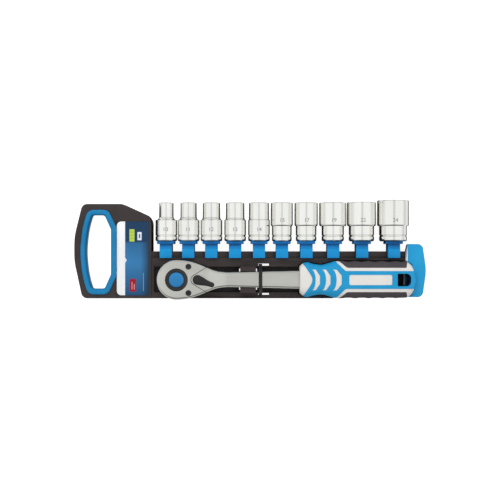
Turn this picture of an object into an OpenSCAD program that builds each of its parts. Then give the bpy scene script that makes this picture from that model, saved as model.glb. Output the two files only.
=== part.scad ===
// Socket set on a carry rail: ten sockets on clip holders and, in the tray below
// them, a half-inch ratchet. A handle block stands at one end and a cap at the other.
// It lies on its back: +X runs along the rail, +Y to the socket mouths, +Z off the back.

/* [Handle block] */
// Width of the block along the rail
block_w = 77; // [72:1:96]
// Height of the block's top edge over the rail's top edge
block_rise = 46.4; // [38:0.2:56]
// Thickness of the block
block_t = 22; // [20:0.5:27]
// Length of the hand hole
hand_l = 72; // [60:1:78]
// Width of the hand hole
hand_w = 24.2; // [20:0.2:26]
// Width of the soft ring round the hand hole
ring_w = 5; // [4:0.2:6]
// How far the ring stands proud of the block's face
ring_proud = 1.4; // [0.6:0.2:2.4]
// Width of the white strip
strip_w = 9.1; // [6:0.1:11]
// Width of the label card
card_w = 23.2; // [18:0.1:24]
// Length of the label recess
label_l = 72.4; // [60:0.2:78]
// Thickness of the strip and the card
label_t = 0.8; // [0.5:0.1:1.2]

/* [Rail and tray] */
// Free gap between the ratchet's head and the rail's free strip
head_clear = 1.6; // [0.8:0.1:8]
// Thickness of the tray at its rims
tray_t = 21; // [18:0.5:25]
// Height of the rail's free strip above the tray
rail_h = 6.7; // [5.5:0.1:8]
// Thickness of the rail
rail_t = 8; // [6.5:0.1:9.6]
// Wall of the moulded shell
wall = 2.4; // [1.8:0.1:3]
// Height of the pocket's floor under the ratchet's head
floor_z = 15.7; // [14:0.1:17]
// Width of the end cap
cap_w = 20.2; // [18:0.2:25]
// Height of the cap's front face
cap_t = 27; // [24:0.5:32]
// How far the cap stands above the rail's top edge
cap_rise = 7.2; // [4:0.2:9]

/* [Holders] */
// Width of the square flange that a socket rests on
flange_w = 16.8; // [14:0.1:20]
// Thickness of the flange
flange_t = 2.6; // [2:0.1:4.2]
// Width of the neck and the clip's legs
neck_w = 12; // [10.5:0.1:15.6]
// Height of the socket seats over the rail's top edge
seat_rise = 9.8; // [9:0.1:13]
// Thickness of the clip's front leg
leg_t = 3.2; // [2.4:0.1:4]
// Length of the stud that enters a socket
stud_l = 11; // [9:0.2:13]
// Gap all round between the stud and a socket's square
stud_gap = 0.25; // [0.15:0.05:0.4]

/* [Sockets] */
// Square drive across its flats
drive = 12.7; // [12:0.1:13.4]
// Hexagon sizes across their flats
hex_sizes = [10, 11, 12, 13, 14, 15, 17, 19, 22, 24];
// Outer diameters at the wrench end
wrench_d = [14.2, 15.9, 17.1, 18.2, 19.7, 21.6, 22.8, 26.6, 28.2, 31];
// Outer diameters at the drive end
drive_d = [21.2, 21.2, 21.2, 21.2, 21.2, 19.3, 20.2, 21.8, 24.7, 27.1];
// Free gap before each socket along the rail
gaps = [2.1, 0.7, 1.3, 2.1, 2.2, 1.1, 1.7, 1.5, 0.8, 1.5];
// Length of the sockets
socket_l = 38; // [32:0.5:45]
// Extra length of the two largest sockets
long_extra = [0.4, 2.2];
// Depth of the square in the drive end
square_depth = 15; // [12:0.5:17]
// Depth of the hexagon in the wrench end
hex_depth = 15; // [12:0.5:18]

/* [Ratchet] */
// Length of the ratchet over all
ratchet_l = 250; // [209:1:300]
// Radius of the head
head_r = 19.2; // [18.4:0.1:23.1]
// Thickness of the head
head_t = 19; // [17:0.5:22]
// Thickness of the shank
shank_t = 9.5; // [8:0.1:11.4]
// Half the shank's width behind the head
shank_half = 7.2; // [6:0.1:8.6]
// Half the shank's width at the handle
shank_half_end = 8.8; // [7.4:0.1:10.5]
// Length of the handle
handle_l = 112; // [94:1:134]
// Thickness of the handle
handle_t = 26; // [22:0.5:28]
// Thickness of the soft shell on the handle's core
skin = 3; // [2:0.1:3.6]
// Number of teeth on the drive gear
teeth = 72; // [60:12:90]
// Radius of the black ring round the button
journal_r = 11; // [10:0.1:12.5]
// Radius of the release button
button_r = 7.5; // [6.2:0.1:8.6]
// Travel of the release button
button_travel = 2.5; // [2:0.1:3]
// Travel of the locking ball
ball_travel = 0.8; // [0.7:0.05:0.9]
// Swing of the reversing lever
lever_swing = 38; // [32:1:45]
// Distance from the head's centre to the lever's pivot
lever_x = 20.4; // [19:0.1:24]

/* [Hidden] */
$fn = 64;
run_gap = 0.05;          // radial gap of a turning fit
slide_gap = 0.3;         // gap of a loose fit
over = 1;                // overrun of a cut past a face

// Row of holders and sockets
count = len(hex_sizes);
function wide(i) = max(wrench_d[i], drive_d[i]);
function total(list, n) = n < 0 ? 0 : list[n] + total(list, n - 1);
widths = [for (i = [0:count - 1]) wide(i)];
row_l = total(widths, count - 1) + total(gaps, count - 1);
row_over_cap = 4.4;      // the last socket reaches this far over the cap

// Layout along the rail
head_gap = 4.8;          // from the block to the ratchet's head
butt_in_cap = 8;         // depth of the handle's butt in the cap's seat
rail_l = max(row_l - row_over_cap, head_gap + ratchet_l - butt_in_cap);
total_l = block_w + rail_l + cap_w;
x_left = -total_l / 2;
x_block = x_left + block_w;
x_cap = x_block + rail_l;
x_right = x_cap + cap_w;
function socket_x(i) = x_block + total(gaps, i) + total(widths, i - 1) + widths[i] / 2;

// Layout across the rail
head_over = 0.7;         // the head reaches this far past the tray's lower edge
tray_h = rail_h + head_clear + 2 * head_r - head_over;
y_rail = -2.1;
y_tray = y_rail - rail_h;
y_low = y_rail - tray_h;
y_top = y_rail + block_rise;
y_seat = y_rail + seat_rise;
y_ratchet = y_low + head_r - head_over;

// Heights off the back
z_axis = 17;             // axis of the sockets
rail_z = z_axis - rail_t / 2;
head_z = floor_z + slide_gap;
head_top = head_z + head_t;
shank_z = head_z + (head_t - shank_t) / 2 + 0.75;
handle_z = shank_z + shank_t / 2 - handle_t / 2;
trough_z = handle_z - 1.5;

// Ratchet along X
x_head = x_block + head_gap + head_r;
x_butt = x_block + head_gap + ratchet_l;
x_grip = x_butt - handle_l;
x_lever = x_head + lever_x;

// Vector helpers and outlines with rounded corners
function unit(v) = v / norm(v);
function bearing(v) = atan2(v[1], v[0]);
function turn(a) = a > 180 ? a - 360 : a < -180 ? a + 360 : a;
function arc(centre, r, from, sweep, n) =
    [for (i = [0:n]) centre + r * [cos(from + sweep * i / n), sin(from + sweep * i / n)]];
function corner(a, b, c, r) =
    r == 0 ? [b] :
    let (
        u = unit(a - b),
        v = unit(c - b),
        half = acos(u * v) / 2,
        centre = b + unit(u + v) * r / sin(half),
        start = bearing(b + u * r / tan(half) - centre),
        stop = bearing(b + v * r / tan(half) - centre)
    )
    arc(centre, r, start, turn(stop - start), r > 20 ? 6 : 9);
function outline(pts, radii) =
    let (n = len(pts))
    [for (i = [0:n - 1]) each corner(pts[(i + n - 1) % n], pts[i], pts[(i + 1) % n], radii[i])];
// Moves every edge of a counter-clockwise outline inwards by d
function inset(pts, d) =
    let (n = len(pts))
    [for (i = [0:n - 1])
        let (
            p = unit(pts[i] - pts[(i + n - 1) % n]),
            q = unit(pts[(i + 1) % n] - pts[i]),
            a = [-p[1], p[0]],
            b = [-q[1], q[0]]
        )
        pts[i] + (a + b) * d / (1 + a * b)];
function mirrored(pts) = [for (i = [len(pts) - 1:-1:0]) [pts[i][0], -pts[i][1]]];

// Handle block: a straight top, a slant down to the rail and a bowed outer side
block_slant_w = 30.4;
block_slant_h = 11.6;
block_bow = 8;
block_mid = (y_top + y_low) / 2 + 2;
block_pts = [
    [x_left + block_bow, y_low],
    [x_block, y_low],
    [x_block, y_top - block_slant_h],
    [x_block - block_slant_w, y_top],
    [x_left + block_bow, y_top],
    [x_left, block_mid + 12],
    [x_left, block_mid - 12]
];
block_radii = [6, 0, 10.5, 8, 6, 70, 70];

// Hand hole: a long octagon with one side pushed out
hand_in = 11.5;          // from the block's outer side to the hole
hand_up = 22.6;          // from the tray's middle to the hole's
hand_c = [x_left + hand_in + hand_w / 2, y_low + tray_h / 2 + hand_up];
hand_cut = [6.2, 14];
hand_bow = 2.5;
hand_side = 6.4;
hand_mid = hand_l / 3;
hand_pts = [
    for (p = [
        [-hand_w / 2 + hand_side, -hand_l / 2],
        [hand_w / 2 - hand_cut[0], -hand_l / 2],
        [hand_w / 2, -hand_l / 2 + hand_cut[1]],
        [hand_w / 2, hand_l / 2 - hand_cut[1]],
        [hand_w / 2 - hand_cut[0], hand_l / 2],
        [-hand_w / 2 + hand_side, hand_l / 2],
        [-hand_w / 2 + hand_bow, hand_mid],
        [-hand_w / 2, 0],
        [-hand_w / 2 + hand_bow, -hand_mid]
    ]) hand_c + p
];
ring_radii = [6, 6, 8, 8, 6, 6, 100, 100, 100];
hole_radii = [3, 4, 6, 6, 4, 3, 95, 95, 95];
ring_pts = outline(inset(hand_pts, -ring_w), ring_radii);
hole_pts = outline(hand_pts, hole_radii);

// Label recess beside the hand hole
x_strip = hand_c[0] + hand_w / 2 + ring_w;
x_card = x_strip + strip_w;
label_drop = 6.5;        // the label's middle lies this far under the hand hole's
y_label = hand_c[1] - label_l / 2 - label_drop;
label_sink = 0.2;        // how far the label lies under the block's face
label_z = block_t - label_t - label_sink;

// Clip holders
clip_gap = 0.1;
hook = 0.6;
hook_h = 1.4;
leg_z = rail_z + rail_t + clip_gap;
stud_half = drive / 2 - stud_gap;
stud_corner = 8.13;      // radius at which the stud's corners are turned off
stud_slit = 1.6;         // slit that lets the stud spring together
slit_from = 3;

// Square drive
square_round = 8.2;      // radius at which the square's corners are turned off
square_gap = 0.08;
ball_r = 2.4;
pin_r = 2.3;
neck_r = pin_r - ball_travel;
tip_z = 1.5;
ball_z = tip_z + 6;
cone_z = ball_z - 0.1;    // where the pin's cone starts, just under the ball's centre
ball_x = drive / 2 + 0.9 - ball_r;
button_seat = 27;        // rest height of the button's stop
button_z = button_seat + button_travel;
spring_z = 22;

// Gear, cover and pawl
plate_t = 3;
gear_z = head_z + 4;
gear_top = head_top - plate_t - slide_gap;
tooth_h = 0.5;
gear_r = 13.6;
cavity_r = gear_r + 0.5;
foot_r = 10.4;           // lower journal of the gear
pawl_shift = 10;         // swing of the pawl round the gear, two teeth
room_from = 6;           // the pawl's pocket, from this far behind the gear's axis
room_half = 10.6;
lever_r = 4.7;
lever_tip_r = 2.2;
lever_tip = 14.7;
shaft_r = 3.1;
screw_at = [11.6, 12.7];
screw_r = 2.8;
screw_seat = 1.5;        // depth of the screw heads' seats in the cover plate
screw_proud = 0.2;
screw_hex_r = 1.3;       // hexagon recess of a screw, across its corners, halved
thread_r = 1.4;

// Ratchet plan: half widths at distances behind the head's centre
flank = [[21.6, 15.2], [29.9, 11.9], [41, 8.2], [49.3, shank_half]];
tang_half = 5.5;
tang_l = 62;
tang_t = 6;
v_edge = [[16.6, 4.4], [29.9, 11.9]];
v_tip_r = 4.6;
v_tip = 18.9;

// Handle plan and side: half sizes at distances behind the collar's front face
grip_plan = [[0, 13.4], [7, 16.9], [22, 14.5], [36, 18.2], [104, 18], [109, 15.6]];
grip_side = [[0, 10.6], [7, 12.3], [22, 11.4], [36, handle_t / 2], [100, handle_t / 2], [112, 10.4]];
grip_scale = handle_l / 112;
grip_round = 9;
hang_x = [94, 107.8];
hang_half = 6.1;

function ease(a, b, t) = a + (b - a) * (1 - cos(180 * t)) / 2;
function between(table, x, i = 0) =
    x <= table[i + 1][0] || i == len(table) - 2
        ? ease(table[i][1], table[i + 1][1], (x - table[i][0]) / (table[i + 1][0] - table[i][0]))
        : between(table, x, i + 1);
plan_steps = [0, 2, 4.5, 7, 11, 14.5, 18, 22, 26, 29, 32, 36, 104];
side_steps = [0, 3.5, 7, 14.5, 22, 29, 36, 100, 106, 112];

module bar(size, at) {
    translate(at) cube(size);
}

module shape(pts, z0, z1) {
    translate([0, 0, z0]) linear_extrude(z1 - z0) polygon(pts);
}

module post(at, r, z0, z1) {
    translate([at[0], at[1], z0]) cylinder(r = r, h = z1 - z0);
}

// Square bar along Z with its corners turned off
module square_bar(half, corner_r, z0, z1) {
    intersection() {
        translate([-half, -half, z0]) cube([2 * half, 2 * half, z1 - z0]);
        translate([0, 0, z0]) cylinder(r = corner_r, h = z1 - z0);
    }
}

// Handle's outer form, or the same form with its surface moved in by d
module grip_form(d, grow = 0) {
    half = [for (s = plan_steps) [s * grip_scale, between(grip_plan, s) - d + grow]];
    butt = [[handle_l - 3, 14 - d + grow], [handle_l + grow / 2, 0]];
    upper = concat([[d, 0]], [for (p = half) [max(p[0], d), p[1]]]);
    plan = concat(upper, [butt[0]], [[handle_l + grow - d, 0]]);
    both = concat(plan, [for (i = [len(plan) - 2:-1:1]) [plan[i][0], -plan[i][1]]]);
    side = [for (s = side_steps) [s * grip_scale, between(grip_side, s) - d]];
    under = [for (i = [len(side) - 1:-1:0]) [side[i][0], -side[i][1]]];
    w = 20 - d;
    t = handle_t / 2 - d;
    section = [[-t, -w], [t, -w], [t, w], [-t, w]];
    translate([x_grip, y_ratchet, handle_z + handle_t / 2])
        intersection() {
            translate([0, 0, -handle_t]) linear_extrude(2 * handle_t) polygon(both);
            rotate([90, 0, 0]) translate([0, 0, -w - over])
                linear_extrude(2 * (w + over)) polygon(concat(side, under));
            rotate([0, 90, 0]) linear_extrude(handle_l + over)
                polygon(outline(section, [for (i = [1:4]) max(grip_round - d, 2)]));
        }
}

// Hang hole through the handle's butt, straight at the front and round at the back
module hang_hole(z0, z1, grow = 0) {
    x0 = x_grip + hang_x[0] * grip_scale - grow;
    x1 = x_grip + hang_x[1] * grip_scale + grow;
    h = hang_half + grow;
    shape(
        outline(
            [[x0, y_ratchet - h], [x1, y_ratchet - h], [x1, y_ratchet + h], [x0, y_ratchet + h]],
            [1.5, 5, 5, 1.5]
        ),
        z0, z1
    );
}

// White areas of the handle, seen from the front
collar_edge = [[-1, -19], [3.2, -19], [3.4, -15.6], [9.9, -6], [11.7, -2.6]];
collar_pts = concat(collar_edge, [[12.2, 0]], mirrored(collar_edge));
chevron_x = [11.4, 21.2, 31.4];
plate_pts = [[47.6, -4.8], [88.7, -4.8], [88.7, 4.8], [47.6, 4.8]];
strip_out = [[36.5, 19.2], [46, 11.8], [103, 11.8], [108, 15.8], [114, 15.8], [114, 8.8]];
strip_in = [[106, 8.8], [44.6, 8.6], [33, 19.2]];
strip_pts = concat(strip_out, strip_in);
function chevron(x) = [
    [x, 10], [x + 4.2, 10.1], [x + 7.1, 5.6], [x + 8.2, 3.9],
    [x + 8.2, -3.9], [x + 7.1, -5.6], [x + 4.2, -10.1], [x, -10],
    [x + 2.9, -7.1], [x + 4.1, -2.6], [x + 4.1, 2.6], [x + 2.9, 7.1]
];
pad_pts = concat([for (i = [0:4]) strip_out[i]], [[114, 19.2]]);

module on_grip(pts, z0, z1) {
    shape([for (p = pts) [x_grip + p[0] * grip_scale, y_ratchet + p[1]]], z0, z1);
}

module both_sides(pts, z0, z1) {
    on_grip(pts, z0, z1);
    on_grip(mirrored(pts), z0, z1);
}

module white_areas() {
    z0 = handle_z - over;
    z1 = handle_z + handle_t + over;
    on_grip(collar_pts, z0, z1);
    for (x = chevron_x) on_grip(chevron(x), z0, z1);
    on_grip(outline(plate_pts, [1.5, 1.5, 1.5, 1.5]), z0, z1);
    both_sides(strip_pts, z0, z1);
}

module pad_areas() {
    both_sides(pad_pts, handle_z - over, handle_z + handle_t + over);
}

// Plan of the ratchet's head and shank up to a distance behind the head's centre
shank_end = x_grip - x_head + 4;
head_half = [[0, head_r], [10, head_r - 1]];
plan_half = concat(head_half, flank, [[shank_end, shank_half_end]]);

module head_plan(z0, z1) {
    post([x_head, y_ratchet], head_r, z0, z1);
    shape(
        [for (p = concat(plan_half, mirrored(plan_half))) [x_head + p[0], y_ratchet - p[1]]],
        z0, z1
    );
}

// V-shaped area round the lever, which belongs to the body
module lever_area(z0, z1, grow = 0) {
    post([x_head + v_tip, y_ratchet], v_tip_r + grow, z0, z1);
    v = [
        [v_edge[0][0], v_edge[0][1] + grow], [v_edge[1][0], v_edge[1][1] + grow + 0.4],
        [v_edge[1][0] + 8, v_edge[1][1] + 6]
    ];
    shape(
        [for (p = concat(v, mirrored(v))) [x_head + p[0], y_ratchet - p[1]]],
        z0, z1
    );
}

module plate_area(z0, z1) {
    difference() {
        intersection() {
            head_plan(z0, z1);
            bar([head_r + v_edge[1][0], 4 * head_r, z1 - z0], [x_head - head_r, y_ratchet - 2 * head_r, z0]);
        }
        lever_area(z0 - over, z1 + over);
    }
}

module screw_places() {
    for (side = [-1, 1]) translate([x_head + screw_at[0], y_ratchet + side * screw_at[1], 0]) children();
}

// Pocket of the tray that the ratchet lies in
module ratchet_pocket() {
    c = 0.6;
    top = tray_t + over;
    post([x_head, y_ratchet], head_r + c, floor_z, top);
    f = [for (p = concat(head_half, flank)) [p[0], p[1] + c]];
    shape([for (p = concat(f, mirrored(f))) [x_head + p[0], y_ratchet - p[1]]], floor_z, top);
    bar([x_grip - x_block - 1, pocket_h, top - floor_z], [x_block + 1, y_ratchet - pocket_h / 2, floor_z]);
    translate([-c, 0, 0]) trough(c, top);
}
pocket_h = 25.2;

// Room for the handle, wide enough to lift it straight out
module trough(c, top) {
    reach = min(x_butt, x_right - wall) - x_grip;
    half = [for (s = [0, 7, 22, 36, 104]) [min(s * grip_scale, reach), between(grip_plan, s) + c]];
    tail = [[reach + c - 3, 14 + c], [reach + 2 * c, 0]];
    upper = concat([[0, half[0][1]]], half, tail);
    shape(
        [for (p = concat(upper, mirrored(upper))) [x_grip + p[0], y_ratchet - p[1]]],
        trough_z, top
    );
}

strap_w = 3.4;
strap_t = 1.2;
strap_x = x_grip - 39.3;
slot_w = 10.6;
slot_h = 2.2;
slot_half = 14.4;
finger_l = 15.2;
finger_x = x_grip - 57.3;
finger_top = shank_z + shank_t - 1;
finger_t = 4.6;
relief_w = 1;            // slots at both ends of each finger
relief_l = 3;
relief_gap = 0.2;
function shank_at(x) =
    let (a = x_head + flank[3][0], b = x_head + shank_end)
    shank_half + (shank_half_end - shank_half) * (x - a) / (b - a);
cells = 6;
drive_hole_r = 9.6;

module tray_body() color([0.2, 0.18, 0.18]) {
    difference() {
        union() {
            shape(outline(block_pts, block_radii), 0, block_t);
            bar([rail_l + wall, y_tray - y_low, tray_t], [x_block - wall, y_low, 0]);
            bar([rail_l + wall, rail_h + wall, rail_t], [x_block - wall, y_tray - wall, rail_z]);
        }
        shape(ring_pts, -over, block_t + over);
        bar([strip_w + card_w, label_l, label_t + over], [x_strip, y_label, label_z]);
        block_hollow();
        tray_hollow();
        groove();
        ratchet_pocket();
        post([x_head, y_ratchet], drive_hole_r, -over, tray_t);
        for (side = [-1, 1])
            bar([slot_w, slot_h, tray_t + 2 * over],
                [strap_x - 0.4, y_ratchet + side * slot_half - slot_h / 2, -over]);
        relief_slots();
    }
    fingers();
    tongues();
}

// Open back of the block, with a wall left round the hand hole
module block_hollow() {
    top = block_t - wall - label_t;
    difference() {
        shape(inset(block_pts, wall), -over, top);
        shape(outline(inset(hand_pts, -ring_w - wall), ring_radii), -2 * over, block_t);
        bar([block_w, wall, block_t], [x_strip, y_tray - wall, -over]);
    }
}

// Open back of the tray: a row of cells with ribs between them
module tray_hollow() {
    cell = (rail_l - wall) / cells;
    for (i = [0:cells - 1]) {
        low = i * cell + cell > x_grip - x_block - 6;
        bar([cell - wall, y_tray - y_low - 2 * wall, (low ? trough_z : floor_z) - wall + over],
            [x_block + wall + i * cell, y_low + wall, -over]);
    }
}

// Groove along the rail's foot that the clips' hooks snap into
module groove() {
    z = rail_z + rail_t;
    bar([rail_l, hook_h + clip_gap, hook + clip_gap + tray_t - z + over],
        [x_block, y_tray - clip_gap, z - hook - clip_gap]);
}

// Snap fingers beside the shank
module fingers() {
    for (side = [-1, 1]) {
        y0 = shank_at(finger_x + finger_l) + slide_gap;
        bar([finger_l, finger_t, finger_top - floor_z + wall],
            [finger_x, side > 0 ? y_ratchet + y0 : y_ratchet - y0 - finger_t, floor_z - wall]);
    }
}

// Slots through the pocket's floor that free the ends of the fingers
module relief_slots() {
    y0 = shank_at(finger_x + finger_l) - slide_gap;
    for (x = [finger_x - relief_w - relief_gap, finger_x + finger_l + relief_gap], side = [-1, 1])
        bar([relief_w, relief_l, tray_t + over],
            [x, side > 0 ? y_ratchet + y0 : y_ratchet - y0 - relief_l, -over]);
}

// Two tongues that carry the end cap
tongue_l = 10;
tongue_h = 5;
tongue_top = 9;
tongue_at = [6, 26];
module tongues() {
    for (y = tongue_at)
        bar([tongue_l + wall, tongue_h, tongue_top - 2], [x_cap - wall, y_low + y, 2]);
}

module handle_grip_ring() color([0.12, 0.52, 0.78]) {
    difference() {
        shape(ring_pts, 0, block_t + ring_proud);
        shape(hole_pts, -over, block_t + ring_proud + over);
    }
}

module label_strip() color([0.95, 0.95, 0.95]) {
    bar([strip_w, label_l, label_t], [x_strip, y_label, label_z]);
}

module label_card() color([0.14, 0.4, 0.65]) {
    bar([card_w, label_l, label_t], [x_card, y_label, label_z]);
}

cap_bow = 2.4;
cap_low = y_low + 1.4;
cap_high = y_rail + cap_rise;
cap_pts = [
    [x_cap, cap_low], [x_right - cap_bow, cap_low], [x_right, (cap_low + cap_high) / 2],
    [x_right - cap_bow, cap_high], [x_cap, cap_high]
];
module end_cap() color([0.12, 0.58, 0.84]) {
    difference() {
        shape(outline(cap_pts, [0, 5, 60, 5, 2]), 0, cap_t);
        shape(inset(cap_pts, wall), -over, tongue_top);
        for (y = tongue_at)
            bar([wall + 2 * over, tongue_h, tongue_top + over], [x_cap - over, y_low + y, -over]);
        trough(0.6, cap_t + over);
    }
}

module holder(i) color([0.1, 0.55, 0.85]) {
    x = socket_x(i);
    fw = flange_w / 2;
    nw = neck_w / 2;
    back = rail_z - clip_gap - leg_t;
    front = leg_z + leg_t;
    leg_low = y_tray + hook_h - 0.2;
    bar([flange_w, flange_t, flange_w], [x - fw, y_seat - flange_t, z_axis - fw]);
    bar([neck_w, y_seat - flange_t - y_rail, front - 1 - back], [x - nw, y_rail, back]);
    bar([neck_w, y_rail + 2.8 - leg_low, leg_t], [x - nw, leg_low, leg_z]);
    bar([neck_w, y_rail + 2.8 - leg_low, leg_t], [x - nw, leg_low, back]);
    bar([neck_w, hook_h - 0.4, hook + clip_gap], [x - nw, y_tray + 0.1, leg_z - hook - clip_gap]);
    bar([neck_w, hook_h, leg_t], [x - nw, y_tray + 0.1, leg_z]);
    translate([x, y_seat, z_axis]) rotate([-90, 0, 0])
        difference() {
            square_bar(stud_half, stud_corner, 0, stud_l);
            bar([stud_slit, 4 * stud_half, stud_l], [-stud_slit / 2, -2 * stud_half, slit_from]);
        }
}

// Outer profile of a socket: radius and distance from the drive end
function length_of(i) = socket_l + (i < count - 2 ? 0 : long_extra[i - count + 2]);
end_edge = 1.7;          // rounding of the drive end
end_face = 2.3;          // least flat rim outside the square
small_step = 20;         // where a small socket's shoulder starts
shoulder = 4;
large_step = 15;         // where a large socket widens
neck_l = 2.4;
neck_share = 0.4;        // share of the widening that the hollow neck takes
skirt_l = 2;
groove_at = 4.4;
groove_d = 0.8;
groove_half = 1.1;
mouth_edge = 0.6;
hex_gap = 0.15;          // play of a hexagon across its flats
lead_in = 1.4;           // cone in the mouth of the square
hex_lead = 1.2;
function round_end(rd) =
    let (e = min(end_edge, rd - drive / 2 - end_face))
    [for (a = [0:18:90]) [rd - e * (1 - sin(a)), end_edge * (1 - cos(a))]];
function small_shoulder(rd, rw) =
    [for (k = [0:6]) [rw + (rd - rw) * (1 + cos(30 * k)) / 2, small_step + shoulder * k / 6]];
function large_shoulder(rd, rw) =
    let (neck = (rw - rd) * neck_share, skirt = (rw - rd) * (1 - neck_share))
    concat(
        [for (a = [0:22.5:90]) [rd + neck * (1 - cos(a)), large_step - neck_l * (1 - sin(a))]],
        [for (a = [0:22.5:90]) [rw - skirt * 0.9 * (1 - sin(a)), large_step + 0.1 + skirt_l * (1 - cos(a))]]
    );
function profile(rd, rw, l) = concat(
    [[0, 0]],
    round_end(rd),
    [[rd, groove_at - groove_half], [rd - groove_d, groove_at], [rd, groove_at + groove_half]],
    rd > rw ? small_shoulder(rd, rw) : large_shoulder(rd, rw),
    [[rw, l - mouth_edge], [rw - mouth_edge, l], [0, l]]
);

module socket(i) color([0.82, 0.83, 0.85]) {
    l = length_of(i);
    af = hex_sizes[i] + hex_gap;
    hex_r = af / sqrt(3);
    translate([socket_x(i), y_seat, z_axis]) rotate([-90, 0, 0])
        difference() {
            rotate_extrude() polygon(profile(drive_d[i] / 2, wrench_d[i] / 2, l));
            square_bar(drive / 2 + square_gap, square_round + 0.15, -over, square_depth);
            translate([0, 0, -0.01]) cylinder(r1 = drive / 2 + lead_in, r2 = drive / 2, h = lead_in);
            translate([0, 0, l - hex_depth]) linear_extrude(hex_depth + over)
                polygon([for (k = [0:5]) hex_r * [cos(60 * k), sin(60 * k)]]);
            translate([0, 0, l - 1]) cylinder(r1 = af / 2, r2 = af / 2 + hex_lead, h = hex_lead);
            cylinder(r = af / 2 - 1, h = l);
        }
}

module ratchet_body() color([0.78, 0.78, 0.78]) {
    z0 = head_z;
    z1 = head_top;
    s0 = shank_z;
    s1 = shank_z + shank_t;
    x0 = x_head - head_r - over;
    xs = x_head + flank[1][0] - 2;
    xe = x_head + flank[3][0] + 2;
    x1 = x_head + shank_end;
    side = [
        [x0, z0], [xs, z0], [xe, s0], [x1, s0], [x1, s1],
        [xe, s1], [xs + 4, z1 - 0.4], [xs, z1], [x0, z1]
    ];
    difference() {
        intersection() {
            head_plan(z0 - over, z1 + over);
            translate([0, y_ratchet + 2 * head_r, 0]) rotate([90, 0, 0])
                linear_extrude(4 * head_r) polygon(side);
        }
        plate_area(z1 - plate_t, z1 + over);
        post([x_head, y_ratchet], cavity_r, gear_z - slide_gap, z1);
        post([x_head, y_ratchet], foot_r + run_gap, z0 - over, z1);
        pawl_room();
        post([x_lever, y_ratchet], shaft_r + run_gap, gear_z, z1 + over);
        screw_places() translate([0, 0, head_z + 6]) cylinder(r = thread_r, h = head_t);
    }
    bar([tang_l, 2 * tang_half, tang_t],
        [x1 - over, y_ratchet - tang_half, shank_z + (shank_t - tang_t) / 2]);
}

// Pocket behind the gear in which the pawl swings
module pawl_room() {
    bar([x_lever - x_head - room_from, 2 * room_half, gear_top - gear_z + 2 * slide_gap],
        [x_head + room_from, y_ratchet - room_half, gear_z - slide_gap]);
}

module cover_plate() color([0.78, 0.78, 0.78]) {
    difference() {
        plate_area(head_top - plate_t, head_top);
        post([x_head, y_ratchet], journal_r + run_gap, head_z, head_top + over);
        screw_places() {
            translate([0, 0, head_top - screw_seat]) cylinder(r = screw_r + run_gap, h = plate_t);
            translate([0, 0, head_z]) cylinder(r = thread_r + run_gap, h = head_t);
        }
    }
}

module cover_screws() color([0.12, 0.12, 0.12]) {
    screw_places() difference() {
        union() {
            translate([0, 0, head_top - screw_seat]) cylinder(r = screw_r, h = screw_seat + screw_proud);
            translate([0, 0, head_z + 7]) cylinder(r = thread_r, h = head_t - 8);
        }
        translate([0, 0, head_top - 1]) cylinder(r = screw_hex_r, h = 2, $fn = 6);
    }
}

module drive_gear() color([0.14, 0.14, 0.15]) {
    translate([x_head, y_ratchet, 0]) difference() {
        union() {
            translate([0, 0, gear_z]) linear_extrude(gear_top - gear_z)
                polygon([for (k = [0:2 * teeth - 1])
                    (gear_r - (k % 2) * tooth_h) * [cos(180 * k / teeth), sin(180 * k / teeth)]]);
            translate([0, 0, head_z - 0.2]) cylinder(r = foot_r, h = gear_z - head_z + 0.2 + over);
            translate([0, 0, gear_top - over]) cylinder(r = journal_r, h = head_top + 0.4 - gear_top + over);
            square_bar(drive / 2, square_round, tip_z, head_z);
        }
        translate([0, 0, button_seat]) cylinder(r = button_r + run_gap, h = head_t);
        translate([0, 0, spring_z]) cylinder(r = 5.4, h = head_t);
        translate([0, 0, 0]) cylinder(r = pin_r + run_gap, h = head_top);
        translate([0, 0, ball_z]) rotate([0, -90, 0]) cylinder(r = ball_r + run_gap, h = drive);
    }
}

module release_button() color([0.14, 0.45, 0.75]) {
    top = head_top + 1.6;
    dome = 44;
    intersection() {
        post([x_head, y_ratchet], button_r, button_z, top);
        translate([x_head, y_ratchet, top - dome]) sphere(r = dome, $fn = 128);
    }
}

module release_pin() color([0.6, 0.6, 0.6]) {
    translate([x_head, y_ratchet, 0]) rotate_extrude()
        polygon([
            [0, tip_z + button_travel], [pin_r, tip_z + button_travel], [pin_r, cone_z],
            [neck_r, cone_z + button_travel], [neck_r, button_z], [0, button_z]
        ]);
}

// Helix of round wire along Z as one swept tube
spring_turns = 4;
spring_steps = 14;
wire_r = 0.45;
module coil(r, h, turns, wire) {
    n = turns * spring_steps;
    sides = 6;
    pts = [for (i = [0:n], k = [0:sides - 1])
        let (a = 360 * i / spring_steps, b = 360 * k / sides, q = r + wire * cos(b))
        [q * cos(a), q * sin(a), wire + (h - 2 * wire) * i / n + wire * sin(b)]];
    rings = [for (i = [0:n - 1], k = [0:sides - 1])
        let (a = i * sides + k, b = i * sides + (k + 1) % sides)
        [b, a, a + sides, b + sides]];
    first = [for (k = [0:sides - 1]) k];
    last = [for (k = [sides - 1:-1:0]) n * sides + k];
    polyhedron(pts, concat(rings, [first, last]), convexity = 8);
}

module button_spring() color([0.7, 0.7, 0.7]) {
    translate([x_head, y_ratchet, spring_z]) coil(4.4, button_z - spring_z, spring_turns, wire_r);
}

module locking_ball() color([0.85, 0.85, 0.85]) {
    translate([x_head - ball_x, y_ratchet, ball_z]) sphere(r = ball_r);
}

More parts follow.
